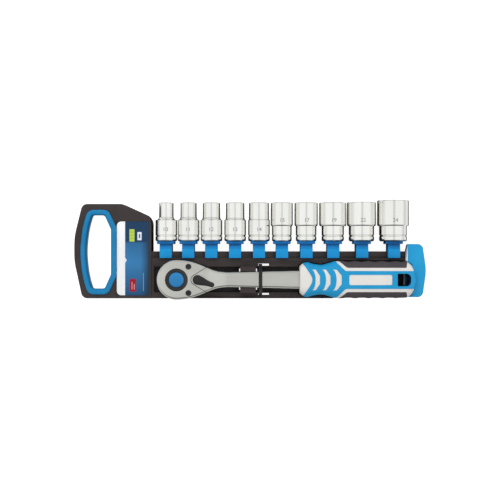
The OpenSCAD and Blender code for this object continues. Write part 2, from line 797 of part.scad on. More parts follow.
// Pawl: a curved block that follows the gear, shifted to one side at rest
module pawl() color([0.5, 0.5, 0.5]) {
    inner = gear_r + 0.12;
    outer = x_lever - x_head - shaft_r - 1.2;
    half = 20;
    z0 = gear_z + slide_gap;
    z1 = gear_top - slide_gap;
    translate([x_head, y_ratchet, 0]) rotate([0, 0, pawl_shift / 2])
        shape(
            concat(arc([0, 0], inner, -half, 2 * half, 16), arc([0, 0], outer, half, -2 * half, 12)),
            z0, z1
        );
}

// Plunger and spring in the lever's cross hole, pointing at the pawl
plunger_r = 1.1;
plunger_back = 0.4;
lever_angle = -lever_swing / 2;
cross_z = gear_z + 5;
module in_lever() {
    translate([x_lever, y_ratchet, cross_z]) rotate([0, 0, lever_angle]) rotate([0, -90, 0]) children();
}

module pawl_plunger() color([0.8, 0.8, 0.8]) {
    in_lever() {
        translate([0, 0, plunger_back]) cylinder(r = plunger_r, h = shaft_r - plunger_back - 0.2);
        translate([0, 0, shaft_r - 0.2]) sphere(r = plunger_r);
    }
}

module pawl_spring() color([0.7, 0.7, 0.7]) {
    in_lever() translate([0, 0, -2.2]) coil(0.75, 2.2 + plunger_back, 3, 0.2);
}

module reversing_lever() color([0.12, 0.12, 0.12]) {
    z0 = head_top + 0.3;
    z1 = head_top + 2.8;
    tip = lever_tip * [cos(lever_angle), sin(lever_angle)];
    side = acos((lever_r - lever_tip_r) / lever_tip);
    a = lever_angle + side;
    b = lever_angle - side;
    blade = [
        lever_r * [cos(a), sin(a)], lever_r * [cos(b), sin(b)],
        tip + lever_tip_r * [cos(b), sin(b)], tip + lever_tip_r * [cos(a), sin(a)]
    ];
    difference() {
        translate([x_lever, y_ratchet, 0]) {
            post([0, 0], lever_r, z0, z1);
            post(tip, lever_tip_r, z0, z1);
            shape([blade[0], blade[3], blade[2], blade[1]], z0, z1);
            post([0, 0], shaft_r, gear_z + 0.4, z0 + over);
        }
        in_lever() translate([0, 0, -2.2]) cylinder(r = plunger_r + run_gap, h = 2 * shaft_r);
    }
}

module handle_core() color([0.94, 0.94, 0.94]) {
    difference() {
        union() {
            grip_form(skin);
            intersection() {
                grip_form(0);
                white_areas();
            }
        }
        hang_hole(0, 2 * handle_t + handle_z);
        tang_room();
    }
}

// Room in the core for the shank's end and the tang
module tang_room() {
    x1 = x_head + shank_end;
    bar([x1 - x_grip + over, 2 * shank_half_end, shank_t],
        [x_grip - over, y_ratchet - shank_half_end, shank_z]);
    bar([tang_l, 2 * tang_half, tang_t],
        [x1 - over, y_ratchet - tang_half, shank_z + (shank_t - tang_t) / 2]);
}

module grip_overmould() color([0.14, 0.52, 0.78]) {
    difference() {
        grip_form(0);
        grip_form(skin);
        white_areas();
        pad_areas();
        hang_hole(0, 2 * handle_t + handle_z);
    }
}

module grip_side_pads() color([0.25, 0.23, 0.25]) {
    difference() {
        intersection() {
            grip_form(0);
            pad_areas();
        }
        grip_form(skin);
        white_areas();
    }
}

// Strap over the shank, with a leg down each slot
module tie_strap() color([0.1, 0.1, 0.1]) {
    arch = shank_z + shank_t + slide_gap;
    near = shank_at(strap_x + strap_w) + slide_gap;
    bend = tray_t + 1.5;
    foot = 2;
    path = [
        [-slot_half, foot], [-slot_half, bend], [-near, arch],
        [near, arch], [slot_half, bend], [slot_half, foot]
    ];
    out = [for (p = path) [p[0] + sign(p[0]) * strap_t / 2, p[1] + (p[1] >= arch ? strap_t : 0)]];
    in = [for (i = [len(path) - 1:-1:0])
        let (p = path[i])
        [p[0] - sign(p[0]) * (p[1] >= arch ? 0 : strap_t / 2), p[1]]];
    translate([strap_x, y_ratchet, 0]) rotate([90, 0, 90])
        linear_extrude(strap_w) polygon(concat(out, in));
}

tray_body();
handle_grip_ring();
end_cap();
label_strip();
label_card();
holder(0);  // holder_1
holder(1);  // holder_2
holder(2);  // holder_3
holder(3);  // holder_4
holder(4);  // holder_5
holder(5);  // holder_6
holder(6);  // holder_7
holder(7);  // holder_8
holder(8);  // holder_9
holder(9);  // holder_10
socket(0);  // socket_10mm
socket(1);  // socket_11mm
socket(2);  // socket_12mm
socket(3);  // socket_13mm
socket(4);  // socket_14mm
socket(5);  // socket_15mm
socket(6);  // socket_17mm
socket(7);  // socket_19mm
socket(8);  // socket_22mm
socket(9);  // socket_24mm
ratchet_body();
cover_plate();
cover_screws();
drive_gear();
release_button();
release_pin();
button_spring();
locking_ball();
pawl();
pawl_plunger();
pawl_spring();
reversing_lever();
handle_core();
grip_overmould();
grip_side_pads();
tie_strap();
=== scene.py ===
import math

import bmesh
import bpy
from mathutils import Matrix, Vector


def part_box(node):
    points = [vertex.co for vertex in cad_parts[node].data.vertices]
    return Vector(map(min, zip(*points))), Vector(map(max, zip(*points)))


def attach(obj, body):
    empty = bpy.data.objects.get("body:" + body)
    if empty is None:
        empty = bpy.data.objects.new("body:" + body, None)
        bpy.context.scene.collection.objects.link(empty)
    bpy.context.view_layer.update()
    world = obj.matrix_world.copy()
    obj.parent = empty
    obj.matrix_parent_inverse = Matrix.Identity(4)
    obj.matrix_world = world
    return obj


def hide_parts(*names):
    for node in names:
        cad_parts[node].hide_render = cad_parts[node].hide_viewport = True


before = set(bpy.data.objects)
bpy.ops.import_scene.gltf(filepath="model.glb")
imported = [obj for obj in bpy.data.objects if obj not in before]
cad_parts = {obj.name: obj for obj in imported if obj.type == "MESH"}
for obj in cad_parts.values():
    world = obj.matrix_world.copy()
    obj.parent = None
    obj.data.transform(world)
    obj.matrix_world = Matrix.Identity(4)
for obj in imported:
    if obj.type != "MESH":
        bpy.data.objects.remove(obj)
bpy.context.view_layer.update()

scene = bpy.context.scene

# ---------------------------------------------------------------- black carry rail
# The rail, the handle block and the ratchet's tray are one injection-moulded shell of
# black polypropylene. Its edges are rounded in the mould and its faces have a fine grain.
block_low, block_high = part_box("tray_body")
ring_low, ring_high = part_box("handle_grip_ring")
label_low, label_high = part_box("label_strip")[0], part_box("label_card")[1]
x_left = block_low.x
x_block = x_left + 0.077
block_face = 0.022
touch = 1e-5
recess_margin = 0.0005


def linear(rgb):
    """A colour given as 0 to 255 in sRGB, as linear numbers with alpha."""
    parts = [c / 255 for c in rgb]
    return tuple(p / 12.92 if p <= 0.04045 else ((p + 0.055) / 1.055) ** 2.4 for p in parts) + (1.0,)


def link(tree, source, target):
    """Joins two sockets of a node tree."""
    tree.links.new(source, target)


def new_group(name, inputs, outputs):
    """A shader node group with float, colour or vector sockets, and its two end nodes."""
    kinds = {"f": "NodeSocketFloat", "c": "NodeSocketColor", "v": "NodeSocketVector"}
    group = bpy.data.node_groups.new(name, "ShaderNodeTree")
    for label, kind in inputs:
        group.interface.new_socket(name=label, in_out="INPUT", socket_type=kinds[kind])
    for label, kind in outputs:
        group.interface.new_socket(name=label, in_out="OUTPUT", socket_type=kinds[kind])
    return group, group.nodes.new("NodeGroupInput"), group.nodes.new("NodeGroupOutput")


def noise(tree, vector, scale, detail=4.0, roughness=0.55):
    node = tree.nodes.new("ShaderNodeTexNoise")
    node.inputs["Scale"].default_value = scale
    node.inputs["Detail"].default_value = detail
    node.inputs["Roughness"].default_value = roughness
    link(tree, vector, node.inputs["Vector"])
    return node.outputs["Fac"]


def math_node(tree, operation, a, b):
    node = tree.nodes.new("ShaderNodeMath")
    node.operation = operation
    for k, value in enumerate((a, b)):
        if isinstance(value, (int, float)):
            node.inputs[k].default_value = value
        else:
            link(tree, value, node.inputs[k])
    return node.outputs[0]


def map_range(tree, value, low, high, to_low, to_high):
    node = tree.nodes.new("ShaderNodeMapRange")
    link(tree, value, node.inputs["Value"])
    for label, number in zip(("From Min", "From Max", "To Min", "To Max"), (low, high, to_low, to_high)):
        if isinstance(number, (int, float)):
            node.inputs[label].default_value = number
        else:
            link(tree, number, node.inputs[label])
    return node.outputs["Result"]


def mix_colour(tree, factor, a, b):
    node = tree.nodes.new("ShaderNodeMix")
    node.data_type = "RGBA"
    link(tree, factor, node.inputs["Factor"])
    for socket, value in ((node.inputs["A"], a), (node.inputs["B"], b)):
        if isinstance(value, tuple):
            socket.default_value = value
        else:
            link(tree, value, socket)
    return node.outputs["Result"]


# Effect for every moulded plastic: two close tones, a fine spark-eroded grain and handling marks
surface_inputs = [("Position", "v"), ("Light", "c"), ("Dark", "c"), ("Gloss Low", "f"), ("Gloss High", "f")]
surface_outputs = [("Colour", "c"), ("Roughness", "f"), ("Height", "f")]
moulded, moulded_in, moulded_out = new_group(
    "moulded_plastic", surface_inputs + [("Grain Scale", "f")], surface_outputs
)
cloud = noise(moulded, moulded_in.outputs["Position"], 38.0, 5.0, 0.6)
smudge = noise(moulded, moulded_in.outputs["Position"], 95.0, 3.0, 0.5)
grain = moulded.nodes.new("ShaderNodeTexVoronoi")
link(moulded, moulded_in.outputs["Position"], grain.inputs["Vector"])
link(moulded, moulded_in.outputs["Grain Scale"], grain.inputs["Scale"])


def finish_group(tree, ends, tone, wear, span, height):
    """Sets a group's outputs: noises mix its two tones and its two gloss levels over a span."""
    start, out = ends
    share = map_range(tree, tone, *span, 0.0, 1.0)
    colour = mix_colour(tree, share, start.outputs["Dark"], start.outputs["Light"])
    gloss = map_range(tree, wear, *span, start.outputs["Gloss Low"], start.outputs["Gloss High"])
    link(tree, colour, out.inputs["Colour"])
    link(tree, gloss, out.inputs["Roughness"])
    link(tree, height, out.inputs["Height"])


finish_group(moulded, (moulded_in, moulded_out), cloud, smudge, (0.3, 0.7), grain.outputs["Distance"])


def new_material(name):
    """A material with its tree, its Principled shader and the piece's own coordinates."""
    material = bpy.data.materials.new(name)
    material.use_nodes = True
    tree = material.node_tree
    shader = tree.nodes["Principled BSDF"]
    place = tree.nodes.new("ShaderNodeTexCoord").outputs["Object"]
    return material, tree, shader, place


def add_bump(tree, shader, height, strength, distance):
    bump = tree.nodes.new("ShaderNodeBump")
    bump.inputs["Strength"].default_value = strength
    bump.inputs["Distance"].default_value = distance
    link(tree, height, bump.inputs["Height"])
    link(tree, bump.outputs["Normal"], shader.inputs["Normal"])


def place_group(tree, shader, effect, position, colour, spread, gloss):
    """Puts a surface group into a material: two tones round an sRGB colour, and a roughness range."""
    group = tree.nodes.new("ShaderNodeGroup")
    group.node_tree = effect
    link(tree, position, group.inputs["Position"])
    group.inputs["Light"].default_value = linear([min(c + spread, 255) for c in colour])
    group.inputs["Dark"].default_value = linear([max(c - spread, 0) for c in colour])
    group.inputs["Gloss Low"].default_value, group.inputs["Gloss High"].default_value = gloss
    link(tree, group.outputs["Roughness"], shader.inputs["Roughness"])
    return group


def plastic(name, colour, spread=8, gloss=(0.38, 0.5), grain_scale=1500.0, bump=0.25, low=None, axis="Z"):
    """Moulded plastic or rubber.

    low gives the colour of a lower zone, painted in as light or shade, and the two places along the axis
    where it blends."""
    material, tree, shader, place = new_material(name)
    group = place_group(tree, shader, moulded, place, colour, spread, gloss)
    group.inputs["Grain Scale"].default_value = grain_scale
    surface = group.outputs["Colour"]
    if low:
        split = tree.nodes.new("ShaderNodeSeparateXYZ")
        link(tree, place, split.inputs["Vector"])
        zone = map_range(tree, split.outputs[axis], low[1], low[2], 0.0, 1.0)
        surface = mix_colour(tree, zone, linear(low[0]), surface)
    link(tree, surface, shader.inputs["Base Color"])
    shader.inputs["Specular IOR Level"].default_value = 0.25
    add_bump(tree, shader, group.outputs["Height"], bump, 0.00008)
    return material


def make_piece(bm, name, body, material, nodes=(), sharp=32, turn_out=True):
    """Writes a bmesh as a smooth-shaded piece with sharp creases, and ties it to its body."""
    if turn_out:
        bmesh.ops.recalc_face_normals(bm, faces=bm.faces)
    mesh = bpy.data.meshes.new(name)
    bm.to_mesh(mesh)
    bm.free()
    mesh.shade_smooth()
    mesh.set_sharp_from_angle(angle=math.radians(sharp))
    piece = bpy.data.objects.new(name, mesh)
    scene.collection.objects.link(piece)
    mesh.materials.append(material)
    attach(piece, body)
    if nodes:
        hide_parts(*nodes)
    return piece


def cad_copy(node):
    """A merged copy of a CAD node's mesh, with its flat faces joined up."""
    bm = bmesh.new()
    bm.from_mesh(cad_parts[node].data)
    bmesh.ops.remove_doubles(bm, verts=bm.verts, dist=1e-6)
    bmesh.ops.dissolve_limit(bm, angle_limit=math.radians(0.5), verts=bm.verts, edges=bm.edges)
    return bm


def soften(bm, width, segments=2, chosen=None, crease=30):
    """Rounds the edges that are creased, or those of them that chosen() picks."""
    limit = math.radians(crease)
    edges = [e for e in bm.edges if e.is_manifold and e.calc_face_angle(0) > limit]
    edges = [e for e in edges if chosen is None or chosen(e)]
    bmesh.ops.bevel(
        bm, geom=edges, offset=width, offset_type="OFFSET", segments=segments, profile=0.5,
        affect="EDGES", clamp_overlap=True, material=-1,
    )


def rounded(corners, radii, steps=8):
    """Points of an outline whose corners are arcs."""
    points = []
    count = len(corners)
    for i, r in enumerate(radii):
        b = Vector(corners[i])
        u = (Vector(corners[i - 1]) - b).normalized()
        v = (Vector(corners[(i + 1) % count]) - b).normalized()
        half = math.acos(max(-1, min(1, u.dot(v)))) / 2
        centre = b + (u + v).normalized() * r / math.sin(half)
        first = b + u * r / math.tan(half) - centre
        last = b + v * r / math.tan(half) - centre
        start = math.atan2(first.y, first.x)
        sweep = math.remainder(math.atan2(last.y, last.x) - start, 2 * math.pi)
        for k in range(steps + 1):
            a = start + sweep * k / steps
            points.append(centre + Vector((math.cos(a), math.sin(a))) * r)
    return points


def on_block_rim(edge):
    """True for the outer edge of the handle block's front face."""
    for v in edge.verts:
        if abs(v.co.z - block_face) > touch:
            return False
        for low, high in ((ring_low, ring_high), (label_low, label_high)):
            if all(low[k] - recess_margin < v.co[k] < high[k] + recess_margin for k in range(2)):
                return False
    return True


# From 19.5 mm down to 12.5 mm the black darkens to near black: painted shade in the tray's deep pockets.
painted_pocket_shade = ((20, 18, 18), 0.0125, 0.0195)
black_plastic = plastic("black_polypropylene", (56, 50, 49), 5, (0.42, 0.6), 1300.0, 0.35, painted_pocket_shade)
rail = cad_copy("tray_body")
# The side next to the sockets stands a little further in, under a rounder shoulder
side_x = x_block - 0.0016
side_top, slope_top = (side_x, block_high.y - 0.013), (x_block - 0.0301, block_high.y)
shoulder_r, shoulder_steps = 0.011, 9
old_arc_x, old_arc_y = x_block - 0.0069, 0.0254
recess_x, recess_corner = x_block - 0.0024, (x_block - 0.0056, 0.0296)
shoulder = rounded([(side_x, 0.0), side_top, slope_top], (0, shoulder_r, 0), shoulder_steps)
shoulder = shoulder[shoulder_steps + 1:2 * shoulder_steps + 2]
inner_corner = [v for v in rail.verts if abs(v.co.x - recess_x) < touch and v.co.y > 0.03]
for v in inner_corner:
    v.co.x, v.co.y = recess_corner
for level in (0.0, block_face):
    arc = [v for v in rail.verts if abs(v.co.z - level) < touch and v.co.y > old_arc_y and v.co.x > old_arc_x]
    arc = [v for v in arc if v.co.y > old_arc_y + 0.0021 or v.co.x > x_block - 0.002]
    arc = sorted(set(arc) - set(inner_corner), key=lambda v: v.co.y)
    for v, point in zip(arc, shoulder):
        v.co.x, v.co.y = point
for v in rail.verts:
    if abs(v.co.x - x_block) < touch:
        v.co.x = side_x
soften(rail, 0.0022, 4, on_block_rim)
soften(rail, 0.0003, 1)
make_piece(rail, "carry_rail", "tray", black_plastic, ["tray_body"], turn_out=False)

# ---------------------------------------------------------------- soft ring of the hand hole
# A blue thermoplastic rubber ring is moulded round the hand hole. It stands proud of the
# block, rolls over to the inside and lines the whole depth of the hole.
lip_width = 0.0058
hand_centre = Vector((x_left + 0.0236, (ring_low.y + ring_high.y) / 2))
hand_half = Vector((0.0121, 0.036))
hand_cut = Vector((0.0062, 0.014))
hand_side, hand_bow, hand_mid = 0.0064, 0.0025, 0.024
hand_corners = [
    (-hand_half.x + hand_side, -hand_half.y), (hand_half.x - hand_cut.x, -hand_half.y),
    (hand_half.x, -hand_half.y + hand_cut.y), (hand_half.x, hand_half.y - hand_cut.y),
    (hand_half.x - hand_cut.x, hand_half.y), (-hand_half.x + hand_side, hand_half.y),
    (-hand_half.x + hand_bow, hand_mid), (-hand_half.x, 0.0), (-hand_half.x + hand_bow, -hand_mid),
]
hand_radii = (0.003, 0.003, 0.0045, 0.0045, 0.003, 0.003, 0.09, 0.09, 0.09)


def inset(points, distance):
    """Moves every edge of a counter-clockwise outline inwards."""
    moved = []
    count = len(points)
    for i, point in enumerate(points):
        b = Vector(point)
        p = (b - Vector(points[i - 1])).normalized()
        q = (Vector(points[(i + 1) % count]) - b).normalized()
        n, m = Vector((-p.y, p.x)), Vector((-q.y, q.x))
        moved.append(b + (n + m) * distance / (1 + n.dot(m)))
    return moved


def add_loop(bm, points):
    """A closed loop of edges through 3D points."""
    verts = [bm.verts.new(p) for p in points]
    return [bm.edges.new((verts[i - 1], verts[i])) for i in range(len(verts))]


def bridge(bm, loops, closed=False):
    pairs = list(zip(loops, loops[1:]))
    if closed:
        pairs.append((loops[-1], loops[0]))
    for a, b in pairs:
        bmesh.ops.bridge_loops(bm, edges=a + b)


# Share of the way from the lip's outer edge to the hole, and height
ring_profile = [
    (0.14, 0.0), (0.14, 0.02205), (0.0, 0.02205), (0.0, 0.0227), (0.05, 0.0232), (0.14, 0.0234),
    (0.7, 0.02335), (0.78, 0.0231), (0.94, 0.0217), (0.98, 0.0209), (1.0, 0.0195),
    (0.95, 0.0125), (0.92, 0.0118), (0.62, 0.0006), (0.55, 0.0),
]
hole_line = [hand_centre + Vector(c) for c in hand_corners]
lip_line = inset(hole_line, -lip_width)
top_corners, left_corners = (4, 5), (5, 6, 7, 8, 0)
lip_drop, hole_drop, hole_shift = 0.0008, 0.0004, 0.0007
for k in top_corners:
    lip_line[k].y -= lip_drop
    hole_line[k].y -= hole_drop
for k in left_corners:
    hole_line[k].x -= hole_shift
lip_radius_more = 0.0046
lip_points = rounded(lip_line, [r + lip_radius_more for r in hand_radii])
hole_points = rounded(hole_line, hand_radii)
ring = bmesh.new()
ring_loops = []
for share, height in ring_profile:
    between = [a.lerp(b, share) for a, b in zip(lip_points, hole_points)]
    ring_loops.append(add_loop(ring, [(p.x, p.y, height) for p in between]))
bridge(ring, ring_loops, closed=True)
# The ring's wall below about 15 mm turns pale lilac: painted light, standing in for the white floor lighting
# it.
painted_light_on_wall = ((196, 200, 222), 0.0148, 0.0172)
blue_rubber = plastic("blue_rubber", (22, 124, 176), 6, (0.36, 0.48), 1700.0, 0.2, painted_light_on_wall)
make_piece(ring, "hand_hole_ring", "tray", blue_rubber, ["handle_grip_ring"], 50)

# ---------------------------------------------------------------- end cap
# A blue polypropylene cap is pushed over two tongues at the far end of the tray. Its inner
# face is hollowed to the round butt of the ratchet's handle.
cap_low, cap_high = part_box("end_cap")
flank_lean, foot_lean = 0.0015, 0.0045
flank_width, flank_foot, flank_side = 0.008, 0.02, -0.008
bow_least, bow_more = 0.0005, 0.0012
# The cap's flank beside the sockets, 1.5 mm in from its face, is near white: painted light on a wall that
# stands in shade.
painted_light_flank = ((226, 230, 244), cap_low.x + flank_lean, cap_low.x + flank_lean + 0.0002)
blue_plastic = plastic("blue_polypropylene", (30, 152, 205), 5, (0.3, 0.42), 1600.0, 0.15, painted_light_flank, "X")
cap = cad_copy("end_cap")
cap_middle = (cap_low.y + cap_high.y) / 2
# The outer side is bowed, and the flank beside the sockets leans outwards, most at its foot
for v in cap.verts:
    off_flank = v.co.x - cap_low.x
    if off_flank > 1.5 * flank_width:
        v.co.x -= bow_least + bow_more * ((v.co.y - cap_middle) / (cap_high.y - cap_middle)) ** 2
    elif v.co.z > flank_foot and v.co.y > flank_side:
        v.co.x += flank_lean * max(0.0, 1 - off_flank / flank_width)
    elif v.co.y > -0.0015 and off_flank < flank_width / 2:
        v.co.x += foot_lean
soften(cap, 0.0014, 4, lambda e: all(abs(v.co.z - cap_high.z) < touch for v in e.verts))
soften(cap, 0.0003, 1)
make_piece(cap, "end_cap_blue", "tray", blue_plastic, ["end_cap"], turn_out=False)

# ---------------------------------------------------------------- label strip and card
# A white styrene strip and a printed card lie side by side in the block's recess. The
# print is plain: a dark field, three tiles and a thin line on a blue ground that darkens
# towards its top and bottom; its darkening towards the right end is painted shade.
strip_low, strip_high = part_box("label_strip")
strip_low.x += 0.0009
card_low, card_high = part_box("label_card")


def flat_plate(low, high, radii, edge):
    """A thin plate with rounded corners and softened top edges."""
    corners = [(low.x, low.y), (high.x, low.y), (high.x, high.y), (low.x, high.y)]
    bm = bmesh.new()
    loops = []
    for d, z in ((0, low.z), (0, high.z - edge), (edge * 0.3, high.z - edge * 0.3), (edge, high.z)):
        loops.append(add_loop(bm, [(p.x, p.y, z) for p in inset(rounded(corners, radii, 6), d)]))
    bridge(bm, loops)
    for loop in (loops[0], loops[-1]):
        bmesh.ops.contextual_create(bm, geom=loop)
    return bm


def in_box(tree, x, y, low, high, soft):
    """A mask that is 1 inside a rectangle and fades over soft at its edges."""
    mask = None
    for value, a, b in ((x, low[0], high[0]), (y, low[1], high[1])):
        rise = map_range(tree, value, a - soft, a + soft, 0.0, 1.0)
        fall = map_range(tree, value, b - soft, b + soft, 1.0, 0.0)
        both = math_node(tree, "MULTIPLY", rise, fall)
        mask = both if mask is None else math_node(tree, "MULTIPLY", mask, both)
    return mask


def on_card(corner, x0, y0, x1, y1):
    """A rectangle on the card, given in millimetres from a corner of the card or of a tile."""
    return [(corner[0] + x / 1000, corner[1] + y / 1000) for x, y in ((x0, y0), (x1, y1))]


card_material, tree, shader, place = new_material("printed_card")
split = tree.nodes.new("ShaderNodeSeparateXYZ")
link(tree, place, split.inputs["Vector"])
card_x, card_y = split.outputs["X"], split.outputs["Y"]
centre_y = (card_low.y + card_high.y) / 2 - 0.004
dark_field = card_high.y - 0.0203
shade = math_node(tree, "ABSOLUTE", math_node(tree, "SUBTRACT", card_y, centre_y), 0.0)
ground = mix_colour(
    tree, map_range(tree, shade, 0.0, 0.034, 0.0, 1.0), linear((52, 122, 176)), linear((26, 76, 118))
)
# Over the last 8 mm before the card's right end the ground darkens almost to black: painted shade.
painted_end_shade = map_range(tree, card_x, card_high.x - 0.008, card_high.x, 0.0, 0.85)
ground = mix_colour(tree, painted_end_shade, ground, linear((16, 36, 56)))
dark = in_box(tree, card_x, card_y, (card_low.x - 0.01, dark_field), (card_high.x + 0.01, 1.0), 0.0006)
ground = mix_colour(tree, dark, ground, linear((16, 54, 88)))
card_top, card_foot = (card_low.x, card_high.y), (card_low.x, card_low.y)
green_tile = on_card(card_top, 4.2, -19.7, 9.1, -7.7)
white_tile = on_card(card_top, 12.0, -18.4, 16.1, -10.5)
red_tile = on_card(card_foot, 4.5, 3.7, 10.6, 16.2)
fine_line = on_card(card_foot, 17.6, 4.1, 18.2, 21.9)
sharp_print = 0.00015
prints = [
    (green_tile, (180, 206, 74), 0.0003), (white_tile, (226, 232, 242), 0.0003),
    (red_tile, (156, 16, 32), 0.0006), (fine_line, (120, 158, 200), 0.0002),
]
for k in range(3):
    bar = on_card(green_tile[0], 1.2, 2.6 + 3.1 * k, 3.7, 3.4 + 3.1 * k)
    prints.append((bar, (140, 166, 60), sharp_print))
for k in range(2):
    bar = on_card(red_tile[0], 1.8 + 2.2 * k, 2.0, 2.7 + 2.2 * k, 9.5 - 2 * k)
    prints.append((bar, (226, 140, 146), sharp_print))
prints.append((on_card(white_tile[0], 1.3, 1.8, 2.8, 6.1), (88, 104, 128), sharp_print))
for (low, high), colour, soft in prints:
    ground = mix_colour(tree, in_box(tree, card_x, card_y, low, high, soft), ground, linear(colour))
notch_y = math_node(tree, "ABSOLUTE", math_node(tree, "SUBTRACT", card_y, card_high.y - 0.038), 0.0)
notch_x = math_node(tree, "SUBTRACT", card_x, card_low.x)
notch = math_node(tree, "ADD", math_node(tree, "MULTIPLY", notch_y, 0.6), notch_x)
notch = map_range(tree, notch, 0.0014, 0.0018, 1.0, 0.0)
ground = mix_colour(tree, notch, ground, linear((232, 236, 242)))
link(tree, ground, shader.inputs["Base Color"])
paper = noise(tree, place, 900.0, 3.0)
link(tree, map_range(tree, paper, 0.3, 0.7, 0.32, 0.44), shader.inputs["Roughness"])
add_bump(tree, shader, paper, 0.15, 0.00003)
shader.inputs["Specular IOR Level"].default_value = 0.25
shader.inputs["Coat Weight"].default_value = 0.1
shader.inputs["Coat Roughness"].default_value = 0.15
make_piece(
    flat_plate(card_low, card_high, (0.0008, 0.001, 0.001, 0.0008), 0.00015),
    "printed_card", "tray", card_material, ["label_card"],
)
white_styrene = plastic("white_styrene", (240, 241, 243), 4, (0.3, 0.4), 1800.0, 0.1)
make_piece(
    flat_plate(strip_low, strip_high, (0.0045, 0.0004, 0.0004, 0.0045), 0.0002),
    "white_strip", "tray", white_styrene, ["label_strip"],
)

# ---------------------------------------------------------------- clip holders
# Ten blue acetal clips are snapped over the rail. Each has a flange that a socket rests
# on and a split square stud that holds the socket by its drive.
holder_count = 10
flange_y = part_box("socket_10mm")[0].y - 0.0035
# Along Y the clip goes from a lighter blue at the leg to a darker blue at the flange: painted light and
# shade, the flange under the socket shaded and the leg lit.
lit_leg_shaded_flange = ((14, 142, 206), flange_y - 0.0045, flange_y)
blue_acetal = plastic("blue_acetal", (8, 98, 164), 5, (0.26, 0.38), 1600.0, 0.12, lit_leg_shaded_flange, "Y")
for number in range(1, holder_count + 1):
    node = f"holder_{number}"
    clip = cad_copy(node)
    soften(clip, 0.00035, 2)
    make_piece(clip, f"clip_{number}", "tray", blue_acetal, [node], turn_out=False)

# ---------------------------------------------------------------- sockets
# Forged chrome-vanadium sockets, turned outside, broached to a hexagon at the mouth and a
# square at the drive end, then polished and chromed. Each one carries its size in millimetres.
axis_z = 0.017
seat_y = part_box("socket_10mm")[0].y
hex_sizes = (10, 11, 12, 13, 14, 15, 17, 19, 22, 24)
wrench_diameters = (14.2, 15.9, 17.1, 18.2, 19.7, 21.6, 22.8, 26.6, 28.2, 31.0)
drive_diameters = (21.2, 21.2, 21.2, 21.2, 21.2, 19.3, 20.2, 21.8, 24.7, 27.1)
square_half, square_round, square_depth = 0.00643, 0.00835, 0.015
hex_depth = 0.015
ring_steps = 96

# Effect for bare and plated metal: two close tones in clouds, and fine polishing marks
worked, worked_in, worked_out = new_group("polished_metal", surface_inputs, surface_outputs)
haze = noise(worked, worked_in.outputs["Position"], 70.0, 4.0, 0.6)
marks = noise(worked, worked_in.outputs["Position"], 900.0, 4.0, 0.65)
finish_group(worked, (worked_in, worked_out), haze, haze, (0.32, 0.68), marks)


def metal(name, colour, spread, gloss, stretch, bump):
    """Worked metal: stretch scales the marks along each axis, and draws them out where it is small."""
    material, tree, shader, place = new_material(name)
    mapping = tree.nodes.new("ShaderNodeMapping")
    mapping.inputs["Scale"].default_value = stretch
    link(tree, place, mapping.inputs["Vector"])
    group = place_group(tree, shader, worked, mapping.outputs["Vector"], colour, spread, gloss)
    link(tree, group.outputs["Colour"], shader.inputs["Base Color"])
    shader.inputs["Metallic"].default_value = 1.0
    add_bump(tree, shader, group.outputs["Height"], bump, 0.00002)
    return material


chrome = metal("polished_chrome", (241, 241, 237), 4, (0.12, 0.14), (1.0, 0.15, 1.0), 0.1)
etched = plastic("etched_mark", (118, 116, 116), 6, (0.5, 0.6), 1500.0, 0.1)


def section_radius(kind, size, angle):
    """Radius of a ring at an angle: a circle, a hexagon or a square with turned corners."""
    if kind == "circle":
        return size
    sides = 6 if kind == "hexagon" else 4
    step = 2 * math.pi / sides
    shift = 0 if kind == "hexagon" else step / 2
    across = size / math.cos(math.remainder(angle - shift - step / 2, step))
    return min(across, square_round) if kind == "square" else across


def turned_loop(bm, x, kind, size, along):
    """Adds one ring of a socket round the axis at x, and gives its edges."""
    loop = bmesh.ops.create_circle(bm, segments=ring_steps, radius=1.0, cap_ends=False)["verts"]
    for v in loop:
        angle = math.atan2(v.co.y, v.co.x)
        r = section_radius(kind, size, angle)
        v.co = Vector((x + r * math.cos(angle), seat_y + along, axis_z + r * math.sin(angle)))
    return list({e for v in loop for e in v.link_edges})


def circle(radius, distance):
    """A round ring of a socket's profile."""
    return "circle", radius, distance


